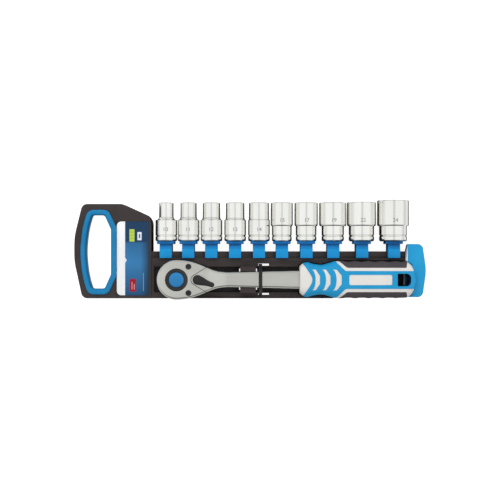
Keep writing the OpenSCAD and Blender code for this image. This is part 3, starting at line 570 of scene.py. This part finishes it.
def socket_rings(hex_size, wrench_r, drive_r, length):
    """The closed profile of a socket as rings: kind, size and distance from the drive end."""
    groove, depth, half = 0.0054, 0.0006, 0.0009
    step_at, skirt_end = 0.021, 0.0168
    rounding = min(0.0017, drive_r - square_half - 0.0023)
    outside = []
    for a in (0, 18, 36, 54, 72, 90):
        a = math.radians(a)
        outside.append(circle(drive_r - rounding * (1 - math.sin(a)), 0.0017 * (1 - math.cos(a))))
    outside += [
        circle(drive_r, groove - half), circle(drive_r - depth, groove - half * 0.25),
        circle(drive_r - depth, groove + half * 0.25), circle(drive_r, groove + half),
        circle(drive_r, groove + half + 0.0003),
    ]
    if drive_r > wrench_r:
        reach = min(drive_r - wrench_r - 0.0003, 0.003)
        rise = min(0.0034, 2.4 * reach)
        outside += [
            circle(drive_r, step_at - 0.0008), circle(drive_r, step_at - 0.0005),
            circle(drive_r - 0.00012, step_at - 0.0002), circle(wrench_r + reach, step_at),
        ]
        for k in range(1, 11):
            a = math.radians(9 * k)
            r = wrench_r + reach * (1 - math.sin(a))
            outside.append(circle(r, step_at + rise * (1 - math.cos(a))))
        outside.append(circle(wrench_r, step_at + 0.0004 + rise))
    else:
        swell = 0.003
        neck_end = skirt_end - swell * math.sin(math.radians(36)) - 0.0001
        outside += [circle(drive_r, neck_end - 0.0003), circle(drive_r, neck_end)]
        for k in range(10):
            a = math.radians(36 - 4 * k)
            outside.append(circle(wrench_r - swell * (1 - math.cos(a)), skirt_end - swell * math.sin(a)))
        outside.append(circle(wrench_r, skirt_end + 0.0003))
    hexagon = hex_size / 2
    mouth = min(hexagon + 0.0011, wrench_r - 0.0007)
    return outside + [
        circle(wrench_r, length - 0.001), circle(wrench_r, length - 0.0007),
        circle(wrench_r - 0.0002, length - 0.0002), circle(wrench_r - 0.0007, length),
        circle(mouth, length),
        ("hexagon", hexagon, length - 0.0016), ("hexagon", hexagon, length - hex_depth),
        circle(hexagon - 0.001, length - hex_depth - 0.0002), circle(hexagon - 0.001, square_depth + 0.0003),
        ("square", square_half, square_depth), ("square", square_half, 0.0008),
        circle(square_half + 0.0014, 0.0),
    ]


def size_mark(text, x, radius, along, height):
    """Plain figures laid on the round outside of a socket, facing the front."""
    curve = bpy.data.curves.new(f"figures_{text}", "FONT")
    curve.body = text
    curve.size = height
    curve.align_x = "CENTER"
    curve.extrude = 0.00004
    flat = bpy.data.objects.new(curve.name, curve)
    scene.collection.objects.link(flat)
    bm = bmesh.new()
    bm.from_mesh(flat.to_mesh())
    bpy.data.objects.remove(flat)
    bmesh.ops.triangulate(bm, faces=bm.faces)
    bmesh.ops.subdivide_edges(bm, edges=[e for e in bm.edges if e.calc_length() > 0.0008], cuts=2)
    for v in bm.verts:
        angle = v.co.x / radius
        r = radius + v.co.z
        v.co = Vector((x + r * math.sin(angle), seat_y + along + v.co.y, axis_z + r * math.cos(angle)))
    return bm


broach_play = 0.00015
figure_height = 0.0054
figures_on_drive, figures_on_wrench = 0.0098, 0.0188
for size, wrench_d, drive_d in zip(hex_sizes, wrench_diameters, drive_diameters):
    node = f"socket_{size}mm"
    low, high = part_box(node)
    x, length = (low.x + high.x) / 2, high.y - low.y
    wrench_r, drive_r = wrench_d / 2000, drive_d / 2000
    body = bmesh.new()
    rings = socket_rings(size / 1000 + broach_play, wrench_r, drive_r, length)
    bridge(body, [turned_loop(body, x, *ring) for ring in rings], closed=True)
    make_piece(body, f"chrome_{node}", node + "_body", chrome, [node], 40)
    figures_at = figures_on_drive if drive_r > wrench_r else figures_on_wrench
    mark = size_mark(str(size), x, max(drive_r, wrench_r), figures_at, figure_height)
    make_piece(mark, f"figures_{size}", node + "_body", etched)

# ---------------------------------------------------------------- ratchet head and shank
# The head and shank are one chrome-vanadium forging, satin chromed. The rim is rounded all
# round, and the head tapers in plan and in thickness into a flat shank.
ratchet_low, ratchet_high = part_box("ratchet_body")
gear_low, gear_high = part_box("drive_gear")
head_x = (gear_low.x + gear_high.x) / 2
ratchet_y = (ratchet_low.y + ratchet_high.y) / 2
head_r = (ratchet_high.y - ratchet_low.y) / 2
head_bottom, head_top = ratchet_low.z, ratchet_high.z
shank_thick = 0.0095
shank_bottom = head_bottom + (head_top - head_bottom - shank_thick) / 2 + 0.00075
grip_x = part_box("handle_core")[0].x
shank_l = grip_x - head_x + 0.003
rim = 0.0017
shank_flare = 0.0016
flank = [(0.010, 0.01825), (0.0155, 0.0171), (0.0216, 0.0151), (0.0258, 0.0134), (0.0299, 0.0116),
         (0.0350, 0.0096), (0.0410, 0.0080), (0.0493, 0.0072)]
satin_chrome = metal("satin_chrome", (208, 208, 202), 6, (0.31, 0.35), (0.2, 1.0, 1.0), 0.3)


def smooth_step(t):
    t = max(0.0, min(1.0, t))
    return t * t * (3 - 2 * t)


def spline(a, b, c, d, t):
    """A Catmull-Rom curve from b to c, read at t."""
    square, cube = 2 * a - 5 * b + 4 * c - d, 3 * b - a - 3 * c + d
    return 0.5 * (2 * b + (c - a) * t + square * t * t + cube * t ** 3)


def around(points, i):
    """The four points of a list that a curve from point i to the next one needs."""
    return [points[max(0, min(len(points) - 1, i + k))] for k in (-1, 0, 1, 2)]


def smoothed(points, parts=4):
    """A smooth curve through points."""
    curve = []
    for i in range(len(points) - 1):
        near = [Vector(p) for p in around(points, i)]
        curve += [tuple(spline(*near, k / parts)) for k in range(parts)]
    return curve + [points[-1]]


def head_outline():
    """Half outline of head and shank from the nose to the grip: distance along and half width."""
    turn = [math.radians(k * 4.5) for k in range(1, 20)]
    nose = [(-head_r * math.cos(a), head_r * math.sin(a)) for a in turn]
    start = nose[-1][0]
    lead = [(start + (flank[0][0] - start) * k / 3, head_r - 0.0009 * (k / 3) ** 2) for k in range(1, 3)]
    neck, neck_half = flank[-1]
    shank = [(neck + (shank_l - neck) * k / 16, neck_half + shank_flare * k / 16) for k in range(1, 17)]
    return [(-head_r, 0.0)] + nose + lead + smoothed(flank) + shank


def thickness_at(along):
    """Lowest and highest z of the forging at a distance behind the head's centre."""
    t = smooth_step((along - 0.028) / 0.022)
    low = head_bottom + (shank_bottom - head_bottom) * t
    high = head_top + (shank_bottom + shank_thick - head_top) * t
    return low, high


def ratchet_shell():
    """Closed body of head and shank: loops of the outline up the rim, with strips across."""
    half = head_outline()
    outline = [Vector((x, -y)) for x, y in half] + [Vector((x, y)) for x, y in half[:0:-1]]
    rim_steps = [(0.0, rim), (0.0002, 0.001), (0.0005, 0.0006), (0.0011, 0.0005)]
    rim_steps += [(0.0018, 0.00005), (0.0022, 0.0)]
    levels = [(d, -1, drop) for d, drop in rim_steps[::-1]] + [(d, 1, drop) for d, drop in rim_steps]
    bm = bmesh.new()
    loops = []
    for d, side, drop in levels:
        ring_points = []
        for p in inset(outline, d):
            low, high = thickness_at(p.x)
            z = low + drop if side < 0 else high - drop
            ring_points.append((head_x + p.x, ratchet_y + p.y, z))
        loops.append(add_loop(bm, ring_points))
    bridge(bm, loops)
    for edges in (loops[0], loops[-1]):
        order = [e.verts[1] for e in edges]
        last = len(order) - 1
        bm.faces.new((order[0], order[1], order[last]))
        for k in range(1, len(order) // 2):
            a, b, c, d = order[k], order[k + 1], order[last - k], order[last - k + 1]
            bm.faces.new((a, b, d) if b is c else (a, b, c, d))
    return bm


def prism(points, low, high):
    """A closed bar whose outline stands along Z."""
    bm = bmesh.new()
    face = bm.faces.new([bm.verts.new((p[0], p[1], low)) for p in points])
    top = bmesh.ops.extrude_face_region(bm, geom=[face])["geom"]
    raised = [v for v in top if isinstance(v, bmesh.types.BMVert)]
    bmesh.ops.translate(bm, verts=raised, vec=(0, 0, high - low))
    return bm


def disc(x, y, radius, low, high, steps=64):
    turn = [2 * math.pi * k / steps for k in range(steps)]
    return prism([(x + radius * math.cos(a), y + radius * math.sin(a)) for a in turn], low, high)


def as_object(bm):
    bmesh.ops.recalc_face_normals(bm, faces=bm.faces)
    mesh = bpy.data.meshes.new("cutting")
    bm.to_mesh(mesh)
    bm.free()
    piece = bpy.data.objects.new("cutting", mesh)
    scene.collection.objects.link(piece)
    return piece


def cut(bm, cutters, operation="DIFFERENCE"):
    """Cuts a bmesh with others one after another, and gives the result as a new bmesh."""
    work = as_object(bm)
    tools = [as_object(c) for c in cutters]
    for tool in tools:
        modifier = work.modifiers.new("cut", "BOOLEAN")
        modifier.operation = operation
        modifier.solver = "EXACT"
        modifier.object = tool
    result = bmesh.new()
    result.from_mesh(work.evaluated_get(bpy.context.evaluated_depsgraph_get()).to_mesh())
    for piece in [work] + tools:
        bpy.data.objects.remove(piece)
    return result


plate_thick = 0.003
v_tip, v_tip_r = 0.0189, 0.0046
v_end = (0.0299, 0.0124)


def plate_outline(gap):
    """Outline of the cover plate on the head, open to the V-shaped land round the lever."""
    far = 0.03
    tip = [
        (v_tip - (v_tip_r + gap) * math.cos(a), (v_tip_r + gap) * math.sin(a))
        for a in [math.radians(k) for k in range(-60, 61, 10)]
    ]
    local = [(-far, -far), (v_end[0], -far), (v_end[0], -v_end[1] - gap)]
    local += tip + [(v_end[0], v_end[1] + gap), (v_end[0], far), (-far, far)]
    return [(head_x + x, ratchet_y + y) for x, y in local]


screw_places = [(head_x + 0.0116, ratchet_y + side * 0.0127) for side in (-1, 1)]
screw_r = 0.0029
gear_room_r, plate_hole_r = 0.0112, 0.01105
above = head_top + 0.002
plate_low = head_top - plate_thick
lower_half = cut(ratchet_shell(), [
    prism(plate_outline(0.0), plate_low, above),
    disc(head_x, ratchet_y, gear_room_r, head_bottom + 0.003, above),
])
make_piece(lower_half, "ratchet_forging", "ratchet", satin_chrome, ["ratchet_body"], 20)

# ---------------------------------------------------------------- cover plate
# The plate closes the gear's housing. It is ground flush with the head, so only a fine
# line shows, round the head's face and along the V that leaves room for the lever.
seam = 0.0006
plate = cut(ratchet_shell(), [prism(plate_outline(seam), plate_low + 0.0001, above)], "INTERSECT")
plate = cut(plate, [disc(head_x, ratchet_y, plate_hole_r, head_bottom, above)])
plate = cut(plate, [disc(x, y, screw_r, head_top - 0.0015, above, 40) for x, y in screw_places])
make_piece(plate, "head_cover", "ratchet", satin_chrome, ["cover_plate"], 20)
# A thin near-black sheet fills the seam round the plate up to just under the face: painted shade, so that the
# line shows dark.
seam_shade_sheet = cut(ratchet_shell(), [prism(plate_outline(0.0), plate_low, head_top - 0.0002)], "INTERSECT")
seam_shade_sheet = cut(seam_shade_sheet, [prism(plate_outline(seam), head_bottom, above)])
seam_shade_black = plastic("seam_shade_black", (16, 15, 15), 3, (0.6, 0.7), 1500.0, 0.1)
make_piece(seam_shade_sheet, "cover_seam_shade", "ratchet", seam_shade_black)

# ---------------------------------------------------------------- screws, gear and button
# Two black-oxide screws hold the plate. The toothed gear turns in it and ends in a black
# ring; inside it sits the anodised button that frees a socket from the square.
black_oxide = metal("black_oxide", (44, 44, 46), 8, (0.42, 0.48), (1.0, 1.0, 1.0), 0.4)
black_oxide.node_tree.nodes["Principled BSDF"].inputs["Metallic"].default_value = 0.4
screws = cad_copy("cover_screws")
soften(screws, 0.0002, 2)
make_piece(screws, "black_screws", "ratchet", black_oxide, ["cover_screws"], turn_out=False)
gear = cad_copy("drive_gear")
soften(gear, 0.0003, 2, lambda e: all(v.co.z > gear_high.z - touch for v in e.verts))
soften(gear, 0.0004, 2, lambda e: all(v.co.z < gear_low.z + touch for v in e.verts))
make_piece(gear, "gear_and_square", "drive", black_oxide, ["drive_gear"], turn_out=False)

button_low, button_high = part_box("release_button")
button_r = (button_high.x - button_low.x) / 2
button = bmesh.new()
button_foot = button_low.z + 0.0001
spring_room, spring_inside, spring_outside = button_low.z + 0.003, 0.0028, 0.0054
button_edge_r, button_crown = 0.0005, 0.0009
button_side_top = button_high.z - button_crown - button_edge_r
button_half = [
    (0.0, button_foot), (spring_inside, button_foot), (spring_inside, spring_room),
    (spring_outside, spring_room), (spring_outside, button_foot), (button_r, button_foot),
    (button_r, button_side_top),
]
for k in range(1, 4):
    a = math.radians(30 * k)
    r = button_r - button_edge_r * (1 - math.cos(a))
    button_half.append((r, button_side_top + button_edge_r * math.sin(a)))
for k in range(1, 7):
    r = (button_r - button_edge_r) * (1 - k / 6)
    button_half.append((r, button_high.z - button_crown * (r / button_r) ** 2))
verts = [button.verts.new((head_x + r, ratchet_y, z)) for r, z in button_half]
line = [button.edges.new(pair) for pair in zip(verts, verts[1:])]
bmesh.ops.spin(
    button, geom=verts + line, cent=(head_x, ratchet_y, 0), axis=(0, 0, 1), angle=2 * math.pi,
    steps=72, use_merge=True,
)
bmesh.ops.remove_doubles(button, verts=button.verts, dist=1e-6)
blue_anodised = metal("blue_anodised", (34, 124, 184), 6, (0.37, 0.43), (1.0, 1.0, 1.0), 0.15)
tree = blue_anodised.node_tree
shader = tree.nodes["Principled BSDF"]
shader.inputs["Metallic"].default_value = 0.25
flat_place, off_axis = [tree.nodes.new("ShaderNodeVectorMath") for k in range(2)]
flat_place.operation, off_axis.operation = "MULTIPLY", "DISTANCE"
flat_place.inputs[1].default_value = (1, 1, 0)
off_axis.inputs[1].default_value = (head_x, ratchet_y, 0)
link(tree, tree.nodes.new("ShaderNodeTexCoord").outputs["Object"], flat_place.inputs[0])
link(tree, flat_place.outputs["Vector"], off_axis.inputs[0])
# From 6.8 to 7.3 mm off the axis the button turns dark navy: painted shade of the recess it sits in.
rim_shade_from, rim_shade_to = 0.0068, 0.0073
painted_rim_shade = map_range(tree, off_axis.outputs["Value"], rim_shade_from, rim_shade_to, 0.0, 1.0)
face_colour = shader.inputs["Base Color"].links[0].from_socket
link(tree, mix_colour(tree, painted_rim_shade, face_colour, linear((8, 36, 70))), shader.inputs["Base Color"])
make_piece(button, "blue_release_button", "button", blue_anodised, ["release_button"])

# ---------------------------------------------------------------- reversing lever
# A black zinc lever lies in the V of the head. Its round end sits on the shaft that turns
# the pawl over, and its waisted tail is crowned for the thumb.
lever_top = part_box("reversing_lever")[1].z
lever_turn = math.radians(-19)
lever_pivot = Vector((head_x + 0.0204, ratchet_y))
lever_r, tail_r, tail_at = 0.0047, 0.0024, 0.0147
lever_waist = [(0.0034, 0.0042), (0.0058, 0.0036), (0.0088, 0.0029), (0.0122, 0.0024), (tail_at, tail_r)]
lever_arc = [math.radians(12 * k) for k in range(10)]
lever_half = [(-lever_r * math.cos(a), lever_r * math.sin(a)) for a in lever_arc]
lever_half += smoothed(lever_waist, 3)
for k in range(1, 7):
    a = math.radians(15 * k)
    lever_half.append((tail_at + tail_r * math.sin(a), tail_r * math.cos(a)))
lever_line = [Vector((x, -y)) for x, y in lever_half[:-1]] + [Vector((x, y)) for x, y in lever_half[:0:-1]]
turned = Matrix.Rotation(lever_turn, 2)
lever = bmesh.new()
lever_loops = []
lever_foot = head_top + 0.0003
lever_edge = [(0.0, 0.0011), (0.0002, 0.0006), (0.0006, 0.0002), (0.0011, 0.0)]
for d, z in [(0.0, lever_foot)] + [(inward, lever_top - drop) for inward, drop in lever_edge]:
    points = [lever_pivot + turned @ p for p in inset(lever_line, d)]
    lever_loops.append(add_loop(lever, [(p.x, p.y, z) for p in points]))
bridge(lever, lever_loops)
for loop in (lever_loops[0], lever_loops[-1]):
    bmesh.ops.contextual_create(lever, geom=loop)
black_zinc = plastic("black_zinc", (38, 37, 38), 6, (0.28, 0.42), 1900.0, 0.3)
make_piece(lever, "direction_lever", "lever", black_zinc, ["reversing_lever"], 40)

# ---------------------------------------------------------------- works inside the head
# Ground steel parts: the pawl, its plunger and spring, the release pin, the locking ball
# and the button's spring. They are hidden until the head is opened.
plain_steel = metal("ground_steel", (168, 168, 170), 10, (0.31, 0.37), (1.0, 1.0, 0.2), 0.3)
for node in ("release_pin", "button_spring", "locking_ball", "pawl", "pawl_plunger", "pawl_spring"):
    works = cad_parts[node]
    if not works.material_slots:
        works.data.materials.append(plain_steel)
    for slot in works.material_slots:
        slot.material = plain_steel

# ---------------------------------------------------------------- handle
# The grip has three layers: a hard white polypropylene core, a blue soft shell moulded
# over it with windows to the core, and two dark ribbed pads let into the sides.
grip_low, grip_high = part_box("handle_core")[0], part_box("grip_overmould")[1]
grip_l = grip_high.x - grip_low.x
grip_z = (grip_low.z + grip_high.z) / 2
grip_thick = grip_high.z - grip_z
widths = [(0, 13.4), (3, 15.6), (7, 16.9), (14, 15.3), (22, 14.5), (29, 16.2), (36, 18.1), (44, 18.2),
          (70, 18.2), (96, 18.1), (104, 17.9), (107, 16.0), (109, 13.7), (110.3, 10.6), (111.2, 7.0),
          (111.7, 4.0), (112, 1.8)]
depths = [(0, 10.6), (7, 12.3), (14, 11.7), (22, 11.4), (29, 12.3), (36, 12.9), (60, 13.0), (90, 13.0),
          (102, 12.9), (108, 12.6), (110, 12.2), (111.2, 11.6), (112, 10.6)]
butt_stations = (105.2, 106.2, 107.2, 108, 108.7, 109.3, 109.8, 110.3, 110.7, 111.1, 111.4, 111.6, 111.8, 112)
section_power = 3.2
scallop, scallop_pitch, scallop_from, scallop_to = 0.00075, 0.0132, 0.041, 0.104
scallop_y, scallop_fade = 0.0125, 0.003


def along(table, x):
    """A smooth curve through the points of a table, in millimetres, read at x metres."""
    x *= 1000
    for i in range(len(table) - 1):
        if x <= table[i + 1][0]:
            break
    near = around(table, i)
    t = (x - near[1][0]) / (near[2][0] - near[1][0])
    return spline(*(p[1] for p in near), t) / 1000


def grip_form(shrink, ribbed=False):
    """Outer form of the grip with its surface moved in, as one closed mesh."""
    stations = [(0.0, 0.0014), (0.0002, 0.0007), (0.0006, 0.0002)]
    stations += [(k * 0.0014 + 0.0012, 0.0) for k in range(74)]
    stations += [(s / 1000, 0.0) for s in butt_stations]
    steps = 88
    bm = bmesh.new()
    loops = []
    for s, round_off in stations:
        s_in = min(max(s, shrink), grip_l - shrink)
        w = along(widths, s) - shrink - round_off
        t = min(along(depths, s), grip_thick) - shrink - round_off
        ring_points = []
        for k in range(steps):
            a = 2 * math.pi * k / steps
            c, q = math.cos(a), math.sin(a)
            y = w * math.copysign(abs(c) ** (2 / section_power), c)
            z = t * math.copysign(abs(q) ** (2 / section_power), q)
            if ribbed and scallop_from < s < scallop_to:
                wave = 0.5 - 0.5 * math.cos(2 * math.pi * (s - scallop_from) / scallop_pitch)
                y -= math.copysign(scallop * wave * smooth_step((abs(y) - scallop_y) / scallop_fade), y)
            ring_points.append((grip_low.x + s_in, ratchet_y + y, grip_z + z))
        loops.append(add_loop(bm, ring_points))
    bridge(bm, loops)
    for loop in (loops[0], loops[-1]):
        bmesh.ops.contextual_create(bm, geom=loop)
    return bm


def on_grip(points):
    """Outline given in millimetres behind the collar's face and off the grip's middle line."""
    return [(grip_low.x + x / 1000, ratchet_y + y / 1000) for x, y in points]


def mirrored(points):
    """An outline's other half, so that it runs on from the first one."""
    return [(x, -y) for x, y in reversed(points)]


def chevron(x, wide):
    """An arched window, in millimetres, with its inner side a half ellipse."""
    arch = [math.radians(a) for a in range(-90, 91, 15)]
    inner = [(x + 4.1 * math.cos(a), 10.0 * math.sin(a)) for a in arch]
    outer = [(x + 4.2, 10.1), (x + wide - 1.2, 5.6), (x + wide, 3.9)]
    return inner + outer + mirrored(outer)


strip_edge = [(33.2, 19.5), (43.2, 9.4), (44.8, 8.6), (116, 8.6), (116, 19.5)]
pad_edge = [(36.6, 19.5), (44.9, 12.3), (46.6, 11.7), (102.5, 11.7), (104.9, 19.5)]
collar_edge = [(-2, 19), (3.2, 19), (3.4, 15.6), (9.9, 6.0), (11.7, 2.6)]
collar = collar_edge + [(12.2, 0)] + mirrored(collar_edge)
hole_box = [(93.9, -6.1), (106.9, -6.1), (106.9, 6.1), (93.9, 6.1)]
hole = rounded(on_grip(hole_box), (0.0012, 0.0045, 0.0045, 0.0012), 8)
plate_box = [(47.5, -4.9), (88.7, -4.9), (88.7, 4.9), (47.5, 4.9)]
plate_window = rounded(on_grip(plate_box), (0.0016,) * 4, 6)
windows = [collar] + [chevron(x, w) for x, w in ((11.2, 8.3), (21.1, 8.4), (31.2, 9.0))]
windows += [strip_edge, mirrored(strip_edge)]
pads = [on_grip(edge) for edge in (pad_edge, mirrored(pad_edge))]
lining = inset(hole, -0.0012)
core_depth, shell_thick, pad_depth = 0.0003, 0.0011, 0.0001


def through(outlines):
    """Bars that stand right through the grip, one for each outline."""
    return [prism(outline, grip_z - 0.03, grip_z + 0.03) for outline in outlines]


core = cut(grip_form(core_depth), through([lining] + pads))
white_core = plastic("white_polypropylene", (224, 221, 216), 4, (0.34, 0.46), 1500.0, 0.15)
make_piece(core, "white_grip_core", "ratchet", white_core, ["handle_core"], 40)
shell = cut(grip_form(0.0), through([on_grip(w) for w in windows] + [plate_window, hole]))
shell = cut(shell, [grip_form(shell_thick)])
blue_grip = plastic("blue_soft_grip", (30, 150, 202), 6, (0.42, 0.55), 1500.0, 0.3)
make_piece(shell, "blue_grip_shell", "ratchet", blue_grip, ["grip_overmould"], 35)
sleeve = cut(cut(grip_form(core_depth), through([lining]), "INTERSECT"), through([hole]))
# Down the hole the lining darkens from blue to near black: painted shade inside the hole.
painted_hole_shade = ((2, 8, 22), grip_z - 0.011, grip_z + 0.011)
hole_lining = plastic("hole_lining", (6, 66, 126), 6, (0.42, 0.55), 1500.0, 0.2, painted_hole_shade)
make_piece(sleeve, "hang_hole_sleeve", "ratchet", hole_lining, sharp=35)
dark_pad = plastic("dark_pad", (74, 70, 74), 3, (0.8, 0.9), 1300.0, 0.3)
for name, edge, nodes in zip(("upper_pad", "lower_pad"), pads, (["grip_side_pads"], ())):
    pad = cut(grip_form(pad_depth, True), through([edge]), "INTERSECT")
    make_piece(pad, name, "ratchet", dark_pad, nodes, 40)

# ---------------------------------------------------------------- tie strap
# A black nylon strap is bent over the shank and down through two slots of the tray, so it
# keeps the ratchet from sliding along its pocket.
black_nylon = plastic("black_nylon", (34, 33, 34), 5, (0.32, 0.42), 1700.0, 0.2)
strap = cad_copy("tie_strap")
soften(strap, 0.0003, 2)
make_piece(strap, "black_tie_strap", "ratchet", black_nylon, ["tie_strap"], turn_out=False)

# ---------------------------------------------------------------- studio
# A pale floor under the set, soft light from above and a camera that looks straight down.
camera_height = 0.9
frame_width = 0.492
at_height = 0.017
sensor = 36.0
camera_data = bpy.data.cameras.new("camera")
camera_data.sensor_width = sensor
camera_data.lens = sensor * (camera_height - at_height) / frame_width
camera = bpy.data.objects.new("camera", camera_data)
camera.location = (0.0, -0.0008, camera_height)
scene.collection.objects.link(camera)
scene.camera = camera

floor_bm = bmesh.new()
bmesh.ops.create_grid(floor_bm, x_segments=1, y_segments=1, size=3.0)
floor_mesh = bpy.data.meshes.new("floor")
bmesh.ops.translate(floor_bm, verts=floor_bm.verts, vec=(0, 0, -0.0002))
floor_bm.to_mesh(floor_mesh)
floor_bm.free()
floor = bpy.data.objects.new("floor", floor_mesh)
scene.collection.objects.link(floor)
floor_material, tree, shader, place = new_material("pale_floor")
shader.inputs["Roughness"].default_value = 0.9
rays = tree.nodes.new("ShaderNodeLightPath")
# Only in reflections, the floor is near black where rays meet it steeply and pale where they meet it at a
# slant: a painted dark ground for the chrome's edges to reflect.
slant = tree.nodes.new("ShaderNodeLayerWeight").outputs["Facing"]
floor_in_gloss = map_range(tree, slant, 0.2, 0.45, 0.05, 0.85)
floor_tone, floor_glow = 0.4, 0.92
more = math_node(tree, "SUBTRACT", floor_in_gloss, floor_tone)
lit = math_node(tree, "MULTIPLY", rays.outputs["Is Glossy Ray"], more)
link(tree, math_node(tree, "ADD", lit, floor_tone), shader.inputs["Base Color"])
glow = math_node(tree, "MULTIPLY", rays.outputs["Is Camera Ray"], floor_glow)
link(tree, glow, shader.inputs["Emission Strength"])
shader.inputs["Emission Color"].default_value = (1.0, 1.0, 1.0, 1.0)
floor_mesh.materials.append(floor_material)


def soft_box(name, place, size, power):
    """A rectangular lamp aimed at the origin, which gloss doesn't show."""
    lamp = bpy.data.lights.new(name, "AREA")
    lamp.shape = "RECTANGLE"
    lamp.size, lamp.size_y = size
    lamp.energy = power
    box = bpy.data.objects.new(name, lamp)
    box.location = place
    box.rotation_euler = (-Vector(place)).to_track_quat("-Z", "Y").to_euler()
    box.visible_glossy = False
    scene.collection.objects.link(box)


soft_box("high_box", (-0.25, 0.9, 1.0), (1.2, 0.7), 10.0)
soft_box("side_box", (0.7, -0.5, 1.1), (0.7, 0.7), 2.5)

# The room is white. Gloss shows it with a grey strip overhead, dark in front and dimmer behind
room_light = 0.62
world = bpy.data.worlds.new("studio")
scene.world = world
world.use_nodes = True
tree = world.node_tree
backdrop = tree.nodes["Background"]
rays = tree.nodes.new("ShaderNodeLightPath")
way = tree.nodes.new("ShaderNodeSeparateXYZ")
link(tree, tree.nodes.new("ShaderNodeTexCoord").outputs["Generated"], way.inputs["Vector"])
sideways = math_node(tree, "ABSOLUTE", way.outputs["X"], 0.0)
strip = map_range(tree, sideways, 0.06, 0.2, 0.7, 0.99)
dull = map_range(tree, way.outputs["Z"], 0.0, 0.45, 0.6, 1.0)
front_dark = map_range(tree, way.outputs["Y"], -0.62, -0.34, 0.04, 1.0)
back_fall = map_range(tree, way.outputs["Y"], 0.26, 0.4, 1.0, 0.55)
back_rise = map_range(tree, way.outputs["Y"], 0.4, 0.62, 0.0, 0.32)
ends = math_node(tree, "MULTIPLY", front_dark, math_node(tree, "ADD", back_fall, back_rise))
gloss_level = math_node(tree, "MULTIPLY", math_node(tree, "MULTIPLY", strip, dull), ends)
room = math_node(tree, "MULTIPLY", gloss_level, rays.outputs["Is Glossy Ray"])
rest = math_node(tree, "SUBTRACT", 1.0, rays.outputs["Is Glossy Ray"])
plain = math_node(tree, "MULTIPLY", rest, room_light)
link(tree, math_node(tree, "ADD", room, plain), backdrop.inputs["Strength"])
backdrop.inputs["Color"].default_value = (1.0, 1.0, 1.0, 1.0)
scene.view_settings.view_transform = "Standard"
